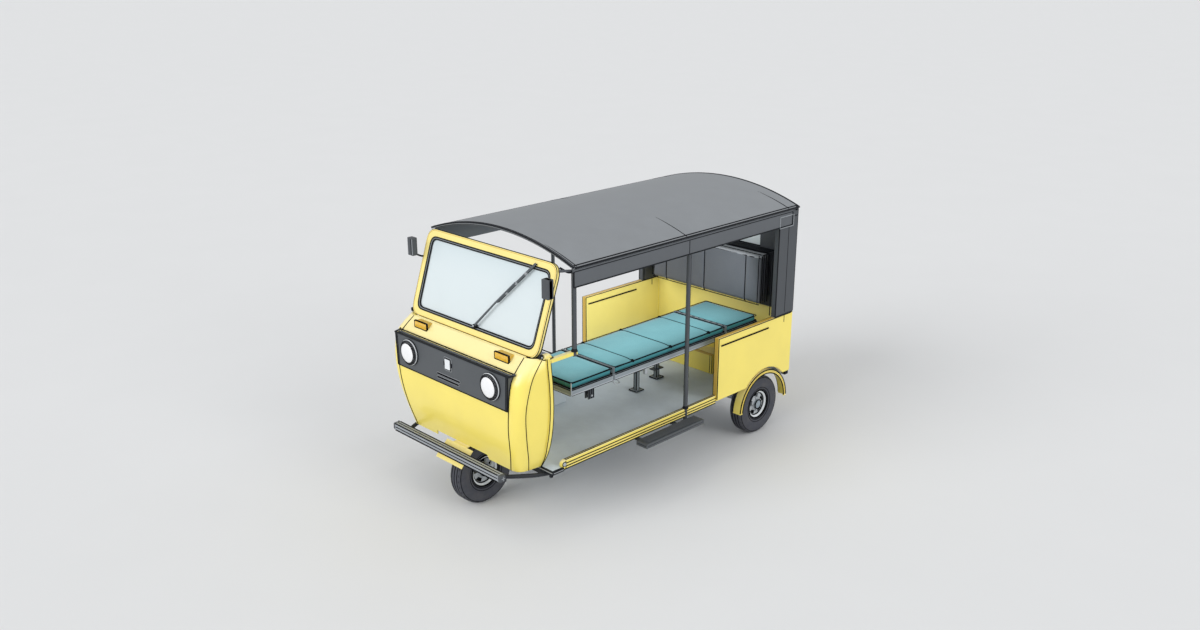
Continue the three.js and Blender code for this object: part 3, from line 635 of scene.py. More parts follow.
for name, strength, turn, spread in studio["lamps"]:
    bpy.ops.object.light_add(type="SUN", rotation=[math.radians(a) for a in turn])
    bpy.context.object.name = name
    bpy.context.object.data.energy = strength
    bpy.context.object.data.angle = math.radians(spread)
for name, place, turn, size, power in studio["panels"]:
    bpy.ops.object.light_add(type="AREA", location=place, rotation=[math.radians(a) for a in turn])
    softPanel = bpy.context.object
    softPanel.name = name
    softPanel.data.shape = "RECTANGLE"
    softPanel.data.size, softPanel.data.size_y = size
    softPanel.data.energy = power
    softPanel.visible_camera = softPanel.visible_glossy = softPanel.visible_transmission = False
bpy.context.scene.view_settings.view_transform = "Standard"
print("studio lit")

# cowl panels and their seams

cowl = {"edge": 0.003, "seam": 0.0021, "proud": 0.0004, "nose": aft(0.16), "cornerBack": aft(0.196),
        "cornerTop": 1.13, "lipFront": aft(0.2), "lipWide": 0.0045,
        "weights": {"front": 1.0, "corner": 0.8, "lip": 0.8, "fold": 0.9}}


def levelsOf(node):
    # the node's corners, gathered by height
    levels = {}
    for corner in frame["nodes"][node].data.vertices:
        levels.setdefault(round(corner.co.z, 3), []).append(corner.co.copy())
    return [levels[z] for z in sorted(levels) if min(p.y for p in levels[z]) < cowl["nose"]]


shell("cowl_front_panel", yellowSide, cowl["edge"])
for side, way in sides.items():
    panel = f"cowl_side_panel_{side}"
    shell(panel, yellowSide, cowl["edge"])
    lines = {part: [] for part in cowl["weights"]}
    for level in levelsOf(panel):
        front = min(level, key=lambda p: (round(p.y, 4), -abs(p.x)))
        corner = max([p for p in level if p.y < cowl["cornerBack"]], key=lambda p: abs(p.x))
        lip = max(level, key=lambda p: abs(p.x) if p.y > cowl["lipFront"] else 0)
        lipFace = [p for p in level if abs(p.x) > abs(lip.x) - cowl["lipWide"] and p.y > cowl["lipFront"]]
        fold = min(lipFace, key=lambda p: p.y)
        lines["front"].append(front + Vector((0, -cowl["proud"], 0)))
        if corner.z < cowl["cornerTop"]:
            lines["corner"].append(corner + Vector((way * cowl["proud"], 0, 0)))
        lines["lip"].append(lip)
        lines["fold"].append(fold + Vector((way * 0.0005, 0, 0)))
    for part, weight in cowl["weights"].items():
        seam(f"cowl_{part}_seam_{side}", curved(lines[part], 3), cowl["seam"] * weight)

# the dark band with its slots and the blank badge

band = {"face": lowOf("grille_band").y, "low": lowOf("grille_band").z, "high": highOf("grille_band").z,
        "slots": ((-0.120, 0.100, 0.886), (-0.120, 0.088, 0.863)), "slotHalf": 0.0055,
        "badge": (-0.040, 0.932, 0.022, 1.008),
        "rails": (("top", 0, 0, 0.0042, trimBlack, "black_plastic"),
                  ("upper", 0.86, 0.0085, 0.0030, seamBlack, "black_plastic"),
                  ("middle", 0.42, 0.0035, 0.0040, bandGrey, "dark_paint"))}
# only the levels that reach the band's ends: the others belong to the lamp openings
bandLevels = [level for level in levelsOf("grille_band") if max(p.x for p in level) > 0.52]
bandFace = min(p.y for p in bandLevels[0])
footHalf, *_, headHalf = [max(p.x for p in level) for level in bandLevels]
outline = [(-footHalf, band["face"], level[0].z) for level in (bandLevels[0], bandLevels[-1])]
outline += [(-footHalf, max(p.y for p in level), level[0].z) for level in reversed(bandLevels)]
plate = pushed(traced("band_plate", outline), (2 * footHalf, 0, 0))
for corner in plate.data.vertices:
    share = (corner.co.z - band["low"]) / (band["high"] - band["low"])
    corner.co.x *= 1 + share * (headHalf / footHalf - 1)
dressed(eased(plate, 0.0025, 2), bandGrey, "body", "grille_band")


def bandEnd(level, way):
    end = max(level, key=lambda p: (round(way * p.x, 4), -p.y))
    return Vector((end.x, min(p.y for p in level), end.z))


topBack = max(p.y for p in bandLevels[-1])
right, left = (bandEnd(bandLevels[-1], way) for way in (-1, 1))
ledge = [Vector((right.x - 0.012, topBack, band["high"] + 0.006)), right + Vector((-0.003, 0, 0.003)),
         left + Vector((0.003, 0, 0.003)), Vector((left.x + 0.012, topBack, band["high"] + 0.006))]
for name, share, rise, thick, finish, slot in band["rails"]:
    line = [p + Vector((0, (topBack - p.y) * share, rise)) for p in ledge]
    seam(f"band_{name}_rail", line, thick, finish)
seam("band_lower_rail", [bandEnd(bandLevels[0], way) for way in (-1, 1)], 0.0026)
for side, way in sides.items():
    edge = [bandEnd(level, way) for level in bandLevels]
    for spot in edge:
        spot.y = bandFace
    seam(f"band_end_seam_{side}", edge, 0.0024)
    for number, inset in enumerate((0.0085, 0.0175)):
        seam(f"band_end_line_{number}_{side}", [p + Vector((-way * inset, -0.0002, 0)) for p in edge], 0.0016)


def bandPlate(name, x0, z0, x1, z1, proud, corner, finish, slot="black_plastic"):
    # a small rounded plate on the face of the band
    middle = ((x0 + x1) / 2, band["face"] + 0.002, (z0 + z1) / 2)
    plate = traced(name, roundedLoop(middle, "xz", x1 - x0, z1 - z0, corner))
    dressed(eased(pushed(plate, (0, -proud - 0.002, 0)), 0.0012, 2), finish)


def bandRim(name, x0, z0, x1, z1, grow, corner, proud, thick):
    middle = ((x0 + x1) / 2, band["face"] - proud, (z0 + z1) / 2)
    loop = roundedLoop(middle, "xz", x1 - x0 + 2 * grow, z1 - z0 + 2 * grow, corner)
    seam(name, loop, thick, lampGrey, closed=True)


for number, (start, end, z) in enumerate(band["slots"]):
    box = (start, z - band["slotHalf"], end, z + band["slotHalf"])
    bandPlate(f"band_slot_{number}", *box, 0.0035, 0.0052, seamBlack)
    bandRim(f"band_slot_rim_{number}", *box, 0.002, 0.0070, 0.0006, 0.0012)
x0, z0, x1, z1 = band["badge"]
bandPlate("badge_frame", x0, z0, x1, z1, 0.004, 0.006, trimBlack)
bandRim("badge_rim", x0, z0, x1, z1, 0.003, 0.008, 0.0010, 0.0014)
bandPlate("badge_blank", x0 + 0.007, z0 + 0.007, x1 - 0.007, z1 - 0.007, 0.007, 0.004, rimWhite,
          "silver_paint")
for name, x in (("right", x0 - 0.004), ("left", x1 + 0.004)):
    bandPlate(f"badge_clip_{name}", x - 0.003, z0 + 0.024, x + 0.003, z1 - 0.024, 0.005, 0.0025, trimBlack)

# headlights: profiles are (radius, how far proud), rings add their thickness

lamp = {"middle": (lowOf("headlight_left") + highOf("headlight_left")) / 2,
        "back": highOf("headlight_left").y,
        "bezel": ((0.0795, 0), (0.0795, 0.017), (0.0775, 0.022), (0.0745, 0.026), (0.0715, 0.0275),
                  (0.0690, 0.0290), (0.0670, 0.0290), (0.0655, 0.0270), (0.0650, 0.0200)),
        "glass": ((0.0645, 0.020), (0.0643, 0.0290), (0.0625, 0.0325), (0.0590, 0.0350), (0.0520, 0.0378),
                  (0.0420, 0.0404), (0.0300, 0.0424), (0.0160, 0.0435), (0.0001, 0.0438)),
        "rings": {"gasket": (0.0798, 0.0085, 0.0036), "band": (0.0795, 0.0185, 0.0026),
                  "groove": (0.0762, 0.0245, 0.0030), "lip": (0.0706, 0.0282, 0.0028),
                  "seal": (0.0640, 0.0325, 0.0030)}}
for side, way in sides.items():
    place = Vector((way * lamp["middle"].x, lamp["back"], lamp["middle"].z))
    for part, finish, stands in (("bezel", lampGrey, f"headlight_{side}"), ("glass", lensWhite, ())):
        profile = [(radius, -proud) for radius, proud in lamp[part]]
        turned(f"headlight_{part}_{side}", profile, place, (0, 1, 0), 48, 50, finish, "body",
               stands)
    for name, (radius, proud, thick) in lamp["rings"].items():
        finish, slot = (rimWhite, "silver_paint") if name == "band" else (gasketRubber, "black_plastic")
        hoop(f"headlight_{name}_{side}", place - Vector((0, proud, 0)), (math.pi / 2, 0, 0), radius, thick,
             64, 10, 60, finish)

indicator = {"inner": 0.325, "outer": 0.450, "low": 1.076, "high": 1.122, "front": aft(0.072),
             "back": aft(0.124), "wall": 0.0042, "pane": 0.0047}
for side, way in sides.items():
    x0, x1 = sorted((way * indicator["inner"], way * indicator["outer"]))
    y, z0, z1 = indicator["front"] + 0.004, indicator["low"], indicator["high"]
    case = block(f"indicator_case_{side}", (x0, y, z0), (x1, y + 0.008, z1))
    faceMode(case, lambda face: face.normal.y < -0.9)
    bpy.ops.mesh.inset(thickness=indicator["wall"])
    slide((0, 0.006, 0))
    dressed(eased(case, 0.002, 3), trimBlack)
    slab(f"indicator_body_{side}", (x0 + 0.003, y + 0.007, z0 + 0.003),
         (x1 - 0.003, indicator["back"], z1 - 0.002), 0.003, 3, yellowDeepAndShade)
    wall = indicator["pane"]
    slab(f"indicator_glass_{side}", (x0 + wall, indicator["front"], z0 + wall),
         (x1 - wall, indicator["front"] + 0.014, z1 - wall), 0.004, 3, lensAmber)
    for name, back in (("front", -0.0002), ("rear", 0.0075)):
        middle = ((x0 + x1) / 2, y + back, (z0 + z1) / 2)
        seam(f"indicator_{name}_line_{side}", roundedLoop(middle, "xz", x1 - x0, z1 - z0, 0.0045, 4), 0.0020,
             closed=True)
    x = way * (indicator["outer"] + 0.0002)
    seam(f"indicator_end_{side}", [(x, y + 0.004, z0 + 0.004), (x, y + 0.004, z1 - 0.004)], 0.0030)
print("cowl and lamps made")

# windshield: across and up lie in its leaning plane, out is square to it

screen = {"lean": math.atan2(0.177, 0.525), "foot": Vector((0, aft(0.156), 1.114)),
          "height": math.hypot(0.177, 0.525), "halfFoot": 0.596, "halfHead": 0.602,
          # inset, corner, out, thickness and finish of each line round it
          "lines": (("edge_seam", -0.0004, 0.080, -0.0030, 0.0020, seamBlack),
                    ("rear_seam", -0.0004, 0.080, -0.0225, 0.0024, seamBlack),
                    ("outer_line", 0.0065, 0.075, 0.0002, 0.0010, yellowDeepAndShade),
                    ("gasket_outer", 0.0455, 0.052, -0.0010, 0.0034, gasketRubber),
                    ("gasket_bead", 0.0520, 0.048, -0.0030, 0.0020, gasketGrey),
                    ("gasket_inner", 0.0585, 0.044, -0.0060, 0.0036, gasketRubber),
                    ("gasket_rear", 0.0475, 0.050, -0.0215, 0.0042, gasketRubber))}
screenUp = Vector((0, math.sin(screen["lean"]), math.cos(screen["lean"])))
screenOut = Vector((0, -math.cos(screen["lean"]), math.sin(screen["lean"])))


def onScreen(across, up, out=0.0):
    return screen["foot"] + Vector((across, 0, 0)) + screenUp * up + screenOut * out


def screenLoop(inset, radius, out, steps=7):
    foot, head = screen["halfFoot"] - inset, screen["halfHead"] - inset
    low, high = inset, screen["height"] - inset
    corners = [Vector(place) for place in ((foot, low), (head, high), (-head, high), (-foot, low))]
    loop = []
    for i, corner in enumerate(corners):
        start, end = (corner + (other - corner).normalized() * radius
                      for other in (corners[i - 1], corners[(i + 1) % 4]))
        for k in range(steps + 1):
            t = k / steps
            spot = start * (1 - t) ** 2 + corner * 2 * t * (1 - t) + end * t ** 2
            loop.append(onScreen(spot.x, spot.y, out))
    return loop


shell("windshield_frame", yellowPale, 0.005, 3)
for name, inset, radius, out, thick, finish in screen["lines"]:
    slot = "yellow_paint" if finish == yellowDeepAndShade else "black_plastic"
    seam(f"windshield_{name}", screenLoop(inset, radius, out), thick, finish, closed=True)
frame["nodes"]["windshield_glass"].material_slots[0].material = screenGlass

for side, way in sides.items():
    foot = Vector((way * 0.606, aft(0.170), 1.121))
    slab(f"windshield_hinge_{side}", foot - Vector((0.010, 0.002, 0.002)),
         foot + Vector((0.010, 0.026, 0.022)), 0.005, 3, trimBlack)
    start, end = (foot + Vector((reach, 0.010, 0.010)) for reach in (-0.014, 0.014))
    pin(f"windshield_hinge_pin_{side}", start, end, 0.005, 16, 0.0012, 2, steelBright)

wiper = {"pivot": (0.034, 0.064), "elbow": (0.178, 0.243), "link": ((0.170, 0.233), (0.305, 0.388)),
         "blade": (Vector((0.183, 0.245)), Vector((0.432, 0.526))), "armOut": 0.016, "bladeOut": 0.013,
         "claws": (0.25, 0.5, 0.75), "clawHalf": 0.011}
pin("wiper_boss", onScreen(*wiper["pivot"], -0.009), onScreen(*wiper["pivot"], 0.021), 0.0130, 32, 0.0035, 3,
    trimBlack, "body", "wiper")
pin("wiper_nut", onScreen(*wiper["pivot"], 0.020), onScreen(*wiper["pivot"], 0.0245), 0.0065, 6, 0.0008, 2,
    steelBright)


def screenStrip(name, start, end, wide, out, thick, finish=bladeGrey, slot="black_plastic", taper=1.0):
    # a flat strip lying along the screen between two places on it
    start, end = Vector(start), Vector(end)
    along = (end - start).normalized()
    across = Vector((-along.y, along.x)) * wide / 2
    ring = [start - across, end - across * taper, end + across * taper, start + across]
    strip = traced(name, [onScreen(p.x, p.y, out - thick / 2) for p in ring])
    pushed(strip, screenOut * thick)
    dressed(eased(strip, min(wide, thick) * 0.28, 2), finish)


screenStrip("wiper_arm", wiper["pivot"], wiper["elbow"], 0.015, wiper["armOut"], 0.007, taper=0.75)
screenStrip("wiper_link", *wiper["link"], 0.011, wiper["armOut"] + 0.001, 0.0065)
screenStrip("wiper_blade", *wiper["blade"], 0.014, wiper["bladeOut"], 0.009)
screenStrip("wiper_rubber", *wiper["blade"], 0.003, 0.0030, 0.013, gasketRubber, "tyre_rubber")
bladeStart, bladeEnd = wiper["blade"]
for number, share in enumerate(wiper["claws"]):
    spot = bladeStart.lerp(bladeEnd, share)
    span = (bladeEnd - bladeStart).normalized() * wiper["clawHalf"]
    screenStrip(f"wiper_claw_{number}", spot - span, spot + span, 0.018, 0.0115, 0.013, lampGrey)

# mirrors: the head is the box part, and the arm runs from it to the windshield frame

mirror = {"front": aft(0.2335), "low": 1.4775, "round": 0.005, "wall": 0.006, "hollow": 0.007, "reach": 0.026}
for side, way in sides.items():
    node = f"mirror_{side}"
    corners = [corner.co for corner in frame["nodes"][node].data.vertices]
    head = [p for p in corners if p.y < mirror["front"] and p.z > mirror["low"]]
    low, high = (Vector([pick(p[i] for p in head) for i in range(3)]) for pick in (min, max))
    case = block(f"mirror_head_{side}", low, high)
    # the right head is hollow at the back; the left one is whole, doubled a little further forward
    faceMode(case, lambda face: way > 0 or face.normal.y > 0.9)
    bpy.ops.mesh.inset(thickness=mirror["wall"])
    slide((0, -mirror["hollow"], 0))
    dressed(eased(case, mirror["round"], 4), darkPanel, "body", node)
    for number, x in enumerate((low.x + 0.004, high.x - 0.016, high.x - 0.004)):
        seam(f"mirror_rib_{number}_{side}", [(x, low.y + 0.0004, low.z + 0.006),
                                             (x, low.y + 0.0004, high.z - 0.006)],
             0.0018, seamBlack if number == 1 else lampGrey)
    wall = mirror["wall"] + 0.002
    slab(f"mirror_glass_{side}", (low.x + wall, high.y - 0.0055, low.z + wall),
         (high.x - wall, high.y - 0.0025, high.z - wall), 0.001, 2, mirrorGlass)
    x = way * (abs(low.x if way > 0 else high.x) + mirror["reach"])
    arm = [(way * 0.592, aft(0.283), 1.462), (way * 0.616, aft(0.262), 1.466), (x, aft(0.222), 1.490),
           (x, aft(0.213), 1.502)]
    seam(f"mirror_arm_{side}", curved(arm, 6), 0.0043, trimBlack)
    pin(f"mirror_socket_{side}", (x, aft(0.218), 1.478), (x, aft(0.214), 1.500), 0.0095, 20, 0.002, 2,
        gasketRubber)
print("windshield, wiper and mirrors made")

# the raised corner of the scuttle behind each foot of the windshield
gusset = {"inner": 0.572, "outer": 0.626, "front": aft(0.190), "rear": aft(0.262), "low": 1.112,
          "high": 1.138,
          "top": 0.55}
for side, way in sides.items():
    x0, x1 = sorted((way * gusset["inner"], way * gusset["outer"]))
    dome = block(f"scuttle_gusset_{side}", (x0, gusset["front"], gusset["low"]),
                 (x1, gusset["rear"], gusset["high"]))
    faceMode(dome, lambda face: face.normal.z > 0.9)
    bpy.ops.transform.resize(value=(gusset["top"], gusset["top"], 1))
    objectMode()
    dressed(eased(dome, 0.009, 4), yellowSide)
    middle = ((x0 + x1) / 2, (gusset["front"] + gusset["rear"]) / 2, gusset["low"] + 0.002)
    loop = roundedLoop(middle, "xy", x1 - x0 + 0.002, gusset["rear"] - gusset["front"] + 0.002, 0.012)
    seam(f"scuttle_gusset_seam_{side}", loop, 0.0020, closed=True)

# roof

roof = {"half": highOf("roof_panel").x, "crest": highOf("roof_panel").z, "rise": 0.122, "thick": 0.012,
        "front": lowOf("roof_panel").y, "rear": highOf("roof_panel").y, "steps": 72, "seam": 0.0022,
        "seams": (aft(0.42), aft(1.36), aft(2.42)), "seamEnd": 0.38, "seamSink": 0.0030,
        "bows": (aft(0.416), aft(1.0), aft(1.413), aft(1.95))}
roofRadius = (roof["half"] ** 2 + roof["rise"] ** 2) / (2 * roof["rise"])


def roofZ(x, sink=0.0):
    return roof["crest"] - roofRadius + math.sqrt((roofRadius - sink) ** 2 - x ** 2)


def roofLine(y, start, end, sink=0.0, steps=48):
    # along the arch from one x to another
    xs = [start + (end - start) * i / steps for i in range(steps + 1)]
    return [Vector((x, y, roofZ(x, sink))) for x in xs]


def arched(name, front, rear, half, sink, thick, steps=None):
    skin = traced(name, roofLine(front, -half, half, sink, steps or roof["steps"]), fill=False)
    editAll(skin)
    slide((0, rear - front, 0))
    facesOut(skin)
    if skin.data.polygons[0].normal.z < 0:
        editAll(skin)
        bpy.ops.mesh.flip_normals()
        objectMode()
    return modified(skin, "SOLIDIFY", thickness=thick, offset=-1)


roofSkin = arched("roof_skin", roof["front"], roof["rear"], roof["half"] - 0.0005, 0, roof["thick"])
dressed(eased(roofSkin, 0.003, 3), roofGrey, "body", "roof_panel")
reach = roof["half"] - 0.004
for name, y, inward in (("front", roof["front"] + 0.004, 0.010), ("rear", roof["rear"] - 0.004, -0.010)):
    seam(f"roof_{name}_edge", roofLine(y, -reach, reach, 0.0035), 0.0046, trimBlack)
    seam(f"roof_{name}_line", roofLine(y + inward, -reach, reach, 0.0005), 0.0020)
for side, way in sides.items():
    for name, inset, sink, end, thick, finish in (("drip_rail", 0.005, 0.004, 0.004, 0.0046, trimBlack),
                                                  ("hem_line", 0.020, -0.0002, 0.012, 0.0030, seamBlack)):
        x = way * (roof["half"] - inset)
        line = [(x, y, roofZ(x, sink)) for y in (roof["front"] + end, roof["rear"] - end)]
        seam(f"roof_{name}_{side}", line, thick, finish)
    for number, y in enumerate(roof["seams"]):
        weld = roofLine(y, way * (roof["half"] - 0.010), way * roof["seamEnd"], 0, 24)
        for step, spot in enumerate(weld):
            spot.z -= roof["seamSink"] * (step / 24) ** 2
        seam(f"roof_seam_{number}_{side}", weld, roof["seam"])
for number, y in enumerate(roof["bows"]):
    bow = arched(f"roof_bow_{number}", y - 0.014, y + 0.014, roof["half"] - 0.034, roof["thick"] + 0.0004,
                 0.009, 40)
    dressed(eased(bow, 0.002, 2), darkPanel)

# valances and posts

valance = {"edge": 0.0030, "seam": aft(1.388), "plate": (aft(2.403), 1.5360), "plateSize": (0.152, 0.078)}
post = {"x": 0.634, "top": 1.5985, "y": {"front": aft(0.416), "centre": aft(1.413)},
        "foot": {"front": 1.112, "centre": 0.4485},
        "collar": [(0.0132, 0.018), (0.0160, 0.0165), (0.0172, 0.010), (0.0195, 0.005), (0.0205, 0.003)]}
for side, way in sides.items():
    node = f"roof_valance_{side}"
    # the valance takes the lighter grey copy: painted light
    shell(node, valanceGreyPaintedLight, valance["edge"])
    low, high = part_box(node)
    face = high.x if way > 0 else low.x
    for name, z, thick in (("lower", low.z + 0.004, 0.0032), ("upper", high.z - 0.012, 0.0020)):
        seam(f"valance_{name}_bead_{side}", [(face, low.y + 0.004, z), (face, high.y - 0.004, z)], thick,
             trimBlack)
    x = face + way * 0.0004
    for name, y, thick in (("front", low.y + 0.003, 0.0040), ("middle", valance["seam"], 0.0018),
                           ("rear", high.y - 0.003, 0.0030)):
        seam(f"valance_{name}_seam_{side}", [(x, y, low.z + 0.004), (x, y, high.z - 0.012)], thick, trimBlack)
    # the end plate at the back of the valance, and the clamp at the roof's corner
    plate = roundedLoop((x, *valance["plate"]), "yz", *valance["plateSize"], 0.004, 3)
    seam(f"valance_plate_rim_{side}", plate, 0.0024, bumperGrey, closed=True)
    pin(f"roof_corner_clamp_{side}", (way * 0.6535, aft(2.512), 1.5980), (way * 0.6535, aft(2.512), 1.6260),
        0.0085, 20, 0.0022, 3, trimBlack)
    for name, y in post["y"].items():
        shell(f"{name}_post_{side}", darkPanel, 0.0015)
        x, foot, top = way * post["x"], post["foot"][name], post["top"]
        # sealing strips down the fore and aft edges
        for number, turn in enumerate((1, -1)):
            edge = (x + way * turn * 0.0084, y + turn * 0.0084)
            seam(f"{name}_post_strip_{number}_{side}", [(*edge, foot + 0.020), (*edge, 1.5800)], 0.0020)
        rings = post["collar"] + [(0.0206, 0.0), (0.0132, 0.0)]
        turned(f"{name}_post_collar_{side}", rings, Vector((x, y, foot)), (0, 0, 1), 32, 40, trimBlack)
        rings = [(radius, -rise) for radius, rise in post["collar"]] + [(0.0132, 0.0)]
        turned(f"{name}_post_cup_{side}", rings, Vector((x, y, top)), (0, 0, 1), 32, 40, trimBlack)
    # a short stay from the post to the head of the windshield
    head = onScreen(way * 0.585, screen["height"] - 0.016, -0.026)
    stay = curved([(way * 0.632, aft(0.404), 1.588), (way * 0.618, aft(0.380), 1.592), head], 5)
    seam(f"windshield_stay_{side}", stay, 0.0048, trimBlack)

# lower side panels

panel = {"out": 0.6506, "in": 0.6144, "front": aft(1.718), "rear": aft(2.546), "top": 0.856, "low": 0.409,
         "trim": (aft(1.743), aft(2.262)), "trimLow": 0.7945, "trimHigh": 0.8055, "trimProud": 0.0045,
         "slit": aft(2.44), "capWide": 0.025, "capEnd": aft(2.325)}
for side, way in sides.items():
    sidePanel = shell(f"rear_side_panel_{side}", yellowSide, 0.004, 3)
    # the inner faces take the brighter yellow copy: painted light
    twoTone(sidePanel, yellowInsidePaintedLight, lambda face: way * face.normal.x < -0.5 and abs(face.center.x) < 0.64)
    outX, inX = way * panel["out"], way * panel["in"]
    for name, x, facing in (("outer", outX, way), ("inner", inX, -way)):
        start, end = panel["trim"]
        slab(f"side_trim_{name}_{side}", (x, start, panel["trimLow"]),
             (x + facing * panel["trimProud"], end, panel["trimHigh"]), 0.0019, 3, seamBlack)
        seam(f"side_slit_{name}_{side}", [(x, panel["slit"], 0.802), (x, panel["slit"], 0.848)], 0.0018)
        # beads along the top rail and down the front return
        y, z = panel["front"] + 0.002, panel["top"] - 0.003
        seam(f"side_rail_{name}_{side}", [(x, y, panel["low"] + 0.012), (x, y, z),
                                          (x, panel["rear"] - 0.030, z)],
             0.0026)
    # the cap over the top rail and down the front return is deep yellow: painted shade for the shaded return
    x, y, z = (outX + inX) / 2 - panel["capWide"] / 2, panel["front"] - 0.0001, panel["top"] + 0.0001
    lining = [(x, y, panel["low"] + 0.012), (x, y, z), (x, panel["capEnd"], z)]
    cap = traced(f"side_rail_cap_{side}", lining, fill=False)
    editAll(cap)
    slide((panel["capWide"], 0, 0))
    modified(cap, "SOLIDIFY", thickness=0.0016, offset=0)
    dressed(eased(cap, 0.0006, 2), yellowDeepAndShade)

# rear corners and back

rear = {"lap": 1.560, "crease": aft(2.44), "end": aft(2.530), "face": highOf("rear_panel_upper").y}
for side, way in sides.items():
    node = f"rear_quarter_{side}"
    shell(node, darkPanel, 0.004, 3)
    x, inX, edgeX = way * 0.6504, way * 0.6004, way * 0.6464
    front, edge = lowOf(node).y + 0.002, rear["face"] - 0.0035
    for name, start, end, thick in (("front_seam", (x, front, 0.862), (x, front, 1.604), 0.0032),
                                    ("inner_seam", (inX, front, 0.862), (inX, front, 1.30), 0.0026),
                                    ("crease", (x, rear["crease"], 0.875), (x, rear["crease"], 1.545),
                                     0.0013),
                                    ("lap", (x, front, rear["lap"]), (x, rear["end"], rear["lap"]), 0.0024),
                                    ("foot", (x, front, 0.8585), (x, rear["end"], 0.8585), 0.0034),
                                    ("corner", (edgeX, edge, 0.862), (edgeX, edge, 1.604), 0.0022)):
        seam(f"quarter_{name}_{side}", [start, end], thick, trimBlack)
# the rear panel's inner face takes the brighter yellow copy: painted light
twoTone(shell("rear_panel_lower", yellowSide, 0.004, 3), yellowInsidePaintedLight,
        lambda face: face.normal.y < -0.5)
shell("rear_panel_upper", darkPanel, 0.003, 2)
y = rear["face"] + 0.0004
for name, z, thick, finish in (("foot", 0.8585, 0.0032, trimBlack), ("waist", 0.838, 0.0020, yellowDeepAndShade)):
    seam(f"rear_{name}_bead", [(-0.594, y, z), (0.594, y, z)], thick, finish)
for side, way in sides.items():
    seam(f"rear_corner_seam_{side}", [(way * 0.598, y, 0.42), (way * 0.598, y, 0.850)], 0.0020)

low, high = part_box("rear_window_glass")
for name, grow, inward, thick, finish in (("outer", 0.003, 0.0005, 0.0050, gasketRubber),
                                          ("bead", -0.005, 0.0035, 0.0024, gasketGrey),
                                          ("inner", -0.001, 0.0260, 0.0046, gasketRubber)):
    middle = ((low.x + high.x) / 2, rear["face"] - inward, (low.z + high.z) / 2)
    loop = roundedLoop(middle, "xz", high.x - low.x + 2 * grow, high.z - low.z + 2 * grow, 0.014 + grow)
    seam(f"rear_window_gasket_{name}", loop, thick, finish, closed=True)
frame["nodes"]["rear_window_glass"].material_slots[0].material = screenGlass

# ribs on the ledge behind the backrest
ledge = {"top": 1.2785, "from": 1.192, "to": 1.270, "half": 0.495, "ribs": 6}
for number in range(ledge["ribs"]):
    y = ledge["from"] + (ledge["to"] - ledge["from"]) * number / (ledge["ribs"] - 1)
    slab(f"ledge_rib_{number}", (-ledge["half"], y - 0.004, ledge["top"] - 0.001),
         (ledge["half"], y + 0.004, ledge["top"] + 0.0045), 0.0018, 2, trimBlack)

tail = {"x": 0.520, "lamps": {"tail": (0.660, lensRed), "turn": (0.570, lensAmber)},
        "rim": ((0.036, 0), (0.036, 0.008), (0.034, 0.011), (0.031, 0.012), (0.0295, 0.010), (0.0295, 0.002)),
        "glass": ((0.0290, 0.002), (0.0290, 0.012), (0.0255, 0.016), (0.0180, 0.0185), (0.0090, 0.0195),
                  (0.0001, 0.0198))}
for side, way in sides.items():
    for name, (z, lensFinish) in tail["lamps"].items():
        place = Vector((way * tail["x"], rear["face"] - 0.001, z))
        for part, finish, slot in (("rim", trimBlack, "black_plastic"), ("glass", lensFinish, "lamp_lens")):
            turned(f"{name}_lamp_{part}_{side}", tail[part], place, (0, 1, 0), 40, 50, finish)
for name, grow, proud, finish, slot in (("frame", 0, 0.005, trimBlack, "black_plastic"),
                                        ("blank", -0.007, 0.008, rimWhite, "silver_paint")):
    loop = roundedLoop((0, rear["face"] - 0.001, 0.615), "xz", 0.34 + 2 * grow, 0.100 + 2 * grow,
                       0.012 + grow / 2)
    plate = pushed(traced(f"plate_{name}", loop), (0, proud, 0))
    dressed(eased(plate, 0.0014, 2), finish)
print("roof, posts and panels made")

# cushions

def puffed(name, low, high, soft):
    # a block that swells like stuffed vinyl, kept within the room between low and high
    inset = Vector(soft["inset"])
    piece = block(name, low + inset, high - Vector((inset.x, inset.y, soft["topInset"])))
    modified(piece, "BEVEL", width=soft["round"], segments=4, limit_method="ANGLE")
    alone(piece)
    piece.data.remesh_voxel_size = soft["voxel"]
    bpy.ops.object.voxel_remesh()
    before = [corner.co.copy() for corner in piece.data.vertices]
    bpy.ops.object.modifier_add(type="CLOTH")
    cloth = piece.modifiers[-1]
    cloth.settings.use_pressure = True
    cloth.settings.uniform_pressure_force = soft["pressure"]
    cloth.settings.effector_weights.gravity = 0
    cloth.settings.tension_stiffness = 25
    cloth.settings.compression_stiffness = 25
    cloth.settings.quality = 4
    for number in range(1, 21):
        bpy.context.scene.frame_set(number)
    bpy.ops.object.modifier_apply(modifier=cloth.name)
    for corner, old in zip(piece.data.vertices, before):
        move = corner.co - old
        if move.length > soft["cap"]:
            corner.co = old + move.normalized() * soft["cap"]
    bpy.context.scene.frame_set(1)
    modified(piece, "SUBSURF", levels=1, render_levels=1)
    top = (high.x, high.y, high.z + soft["crown"])
    for corner in piece.data.vertices:
        corner.co = [min(max(value, least), most) for value, least, most in zip(corner.co, low, top)]
    return piece


def onto(piece, points, way, lift):
    # drops each point on the cushion's surface, along one axis
    tree = BVHTree.FromPolygons([corner.co for corner in piece.data.vertices],
                                [face.vertices for face in piece.data.polygons])
    way = Vector(way)
    return [(tree.ray_cast(point - way * 0.05, way)[0] or point) - way * lift for point in points]


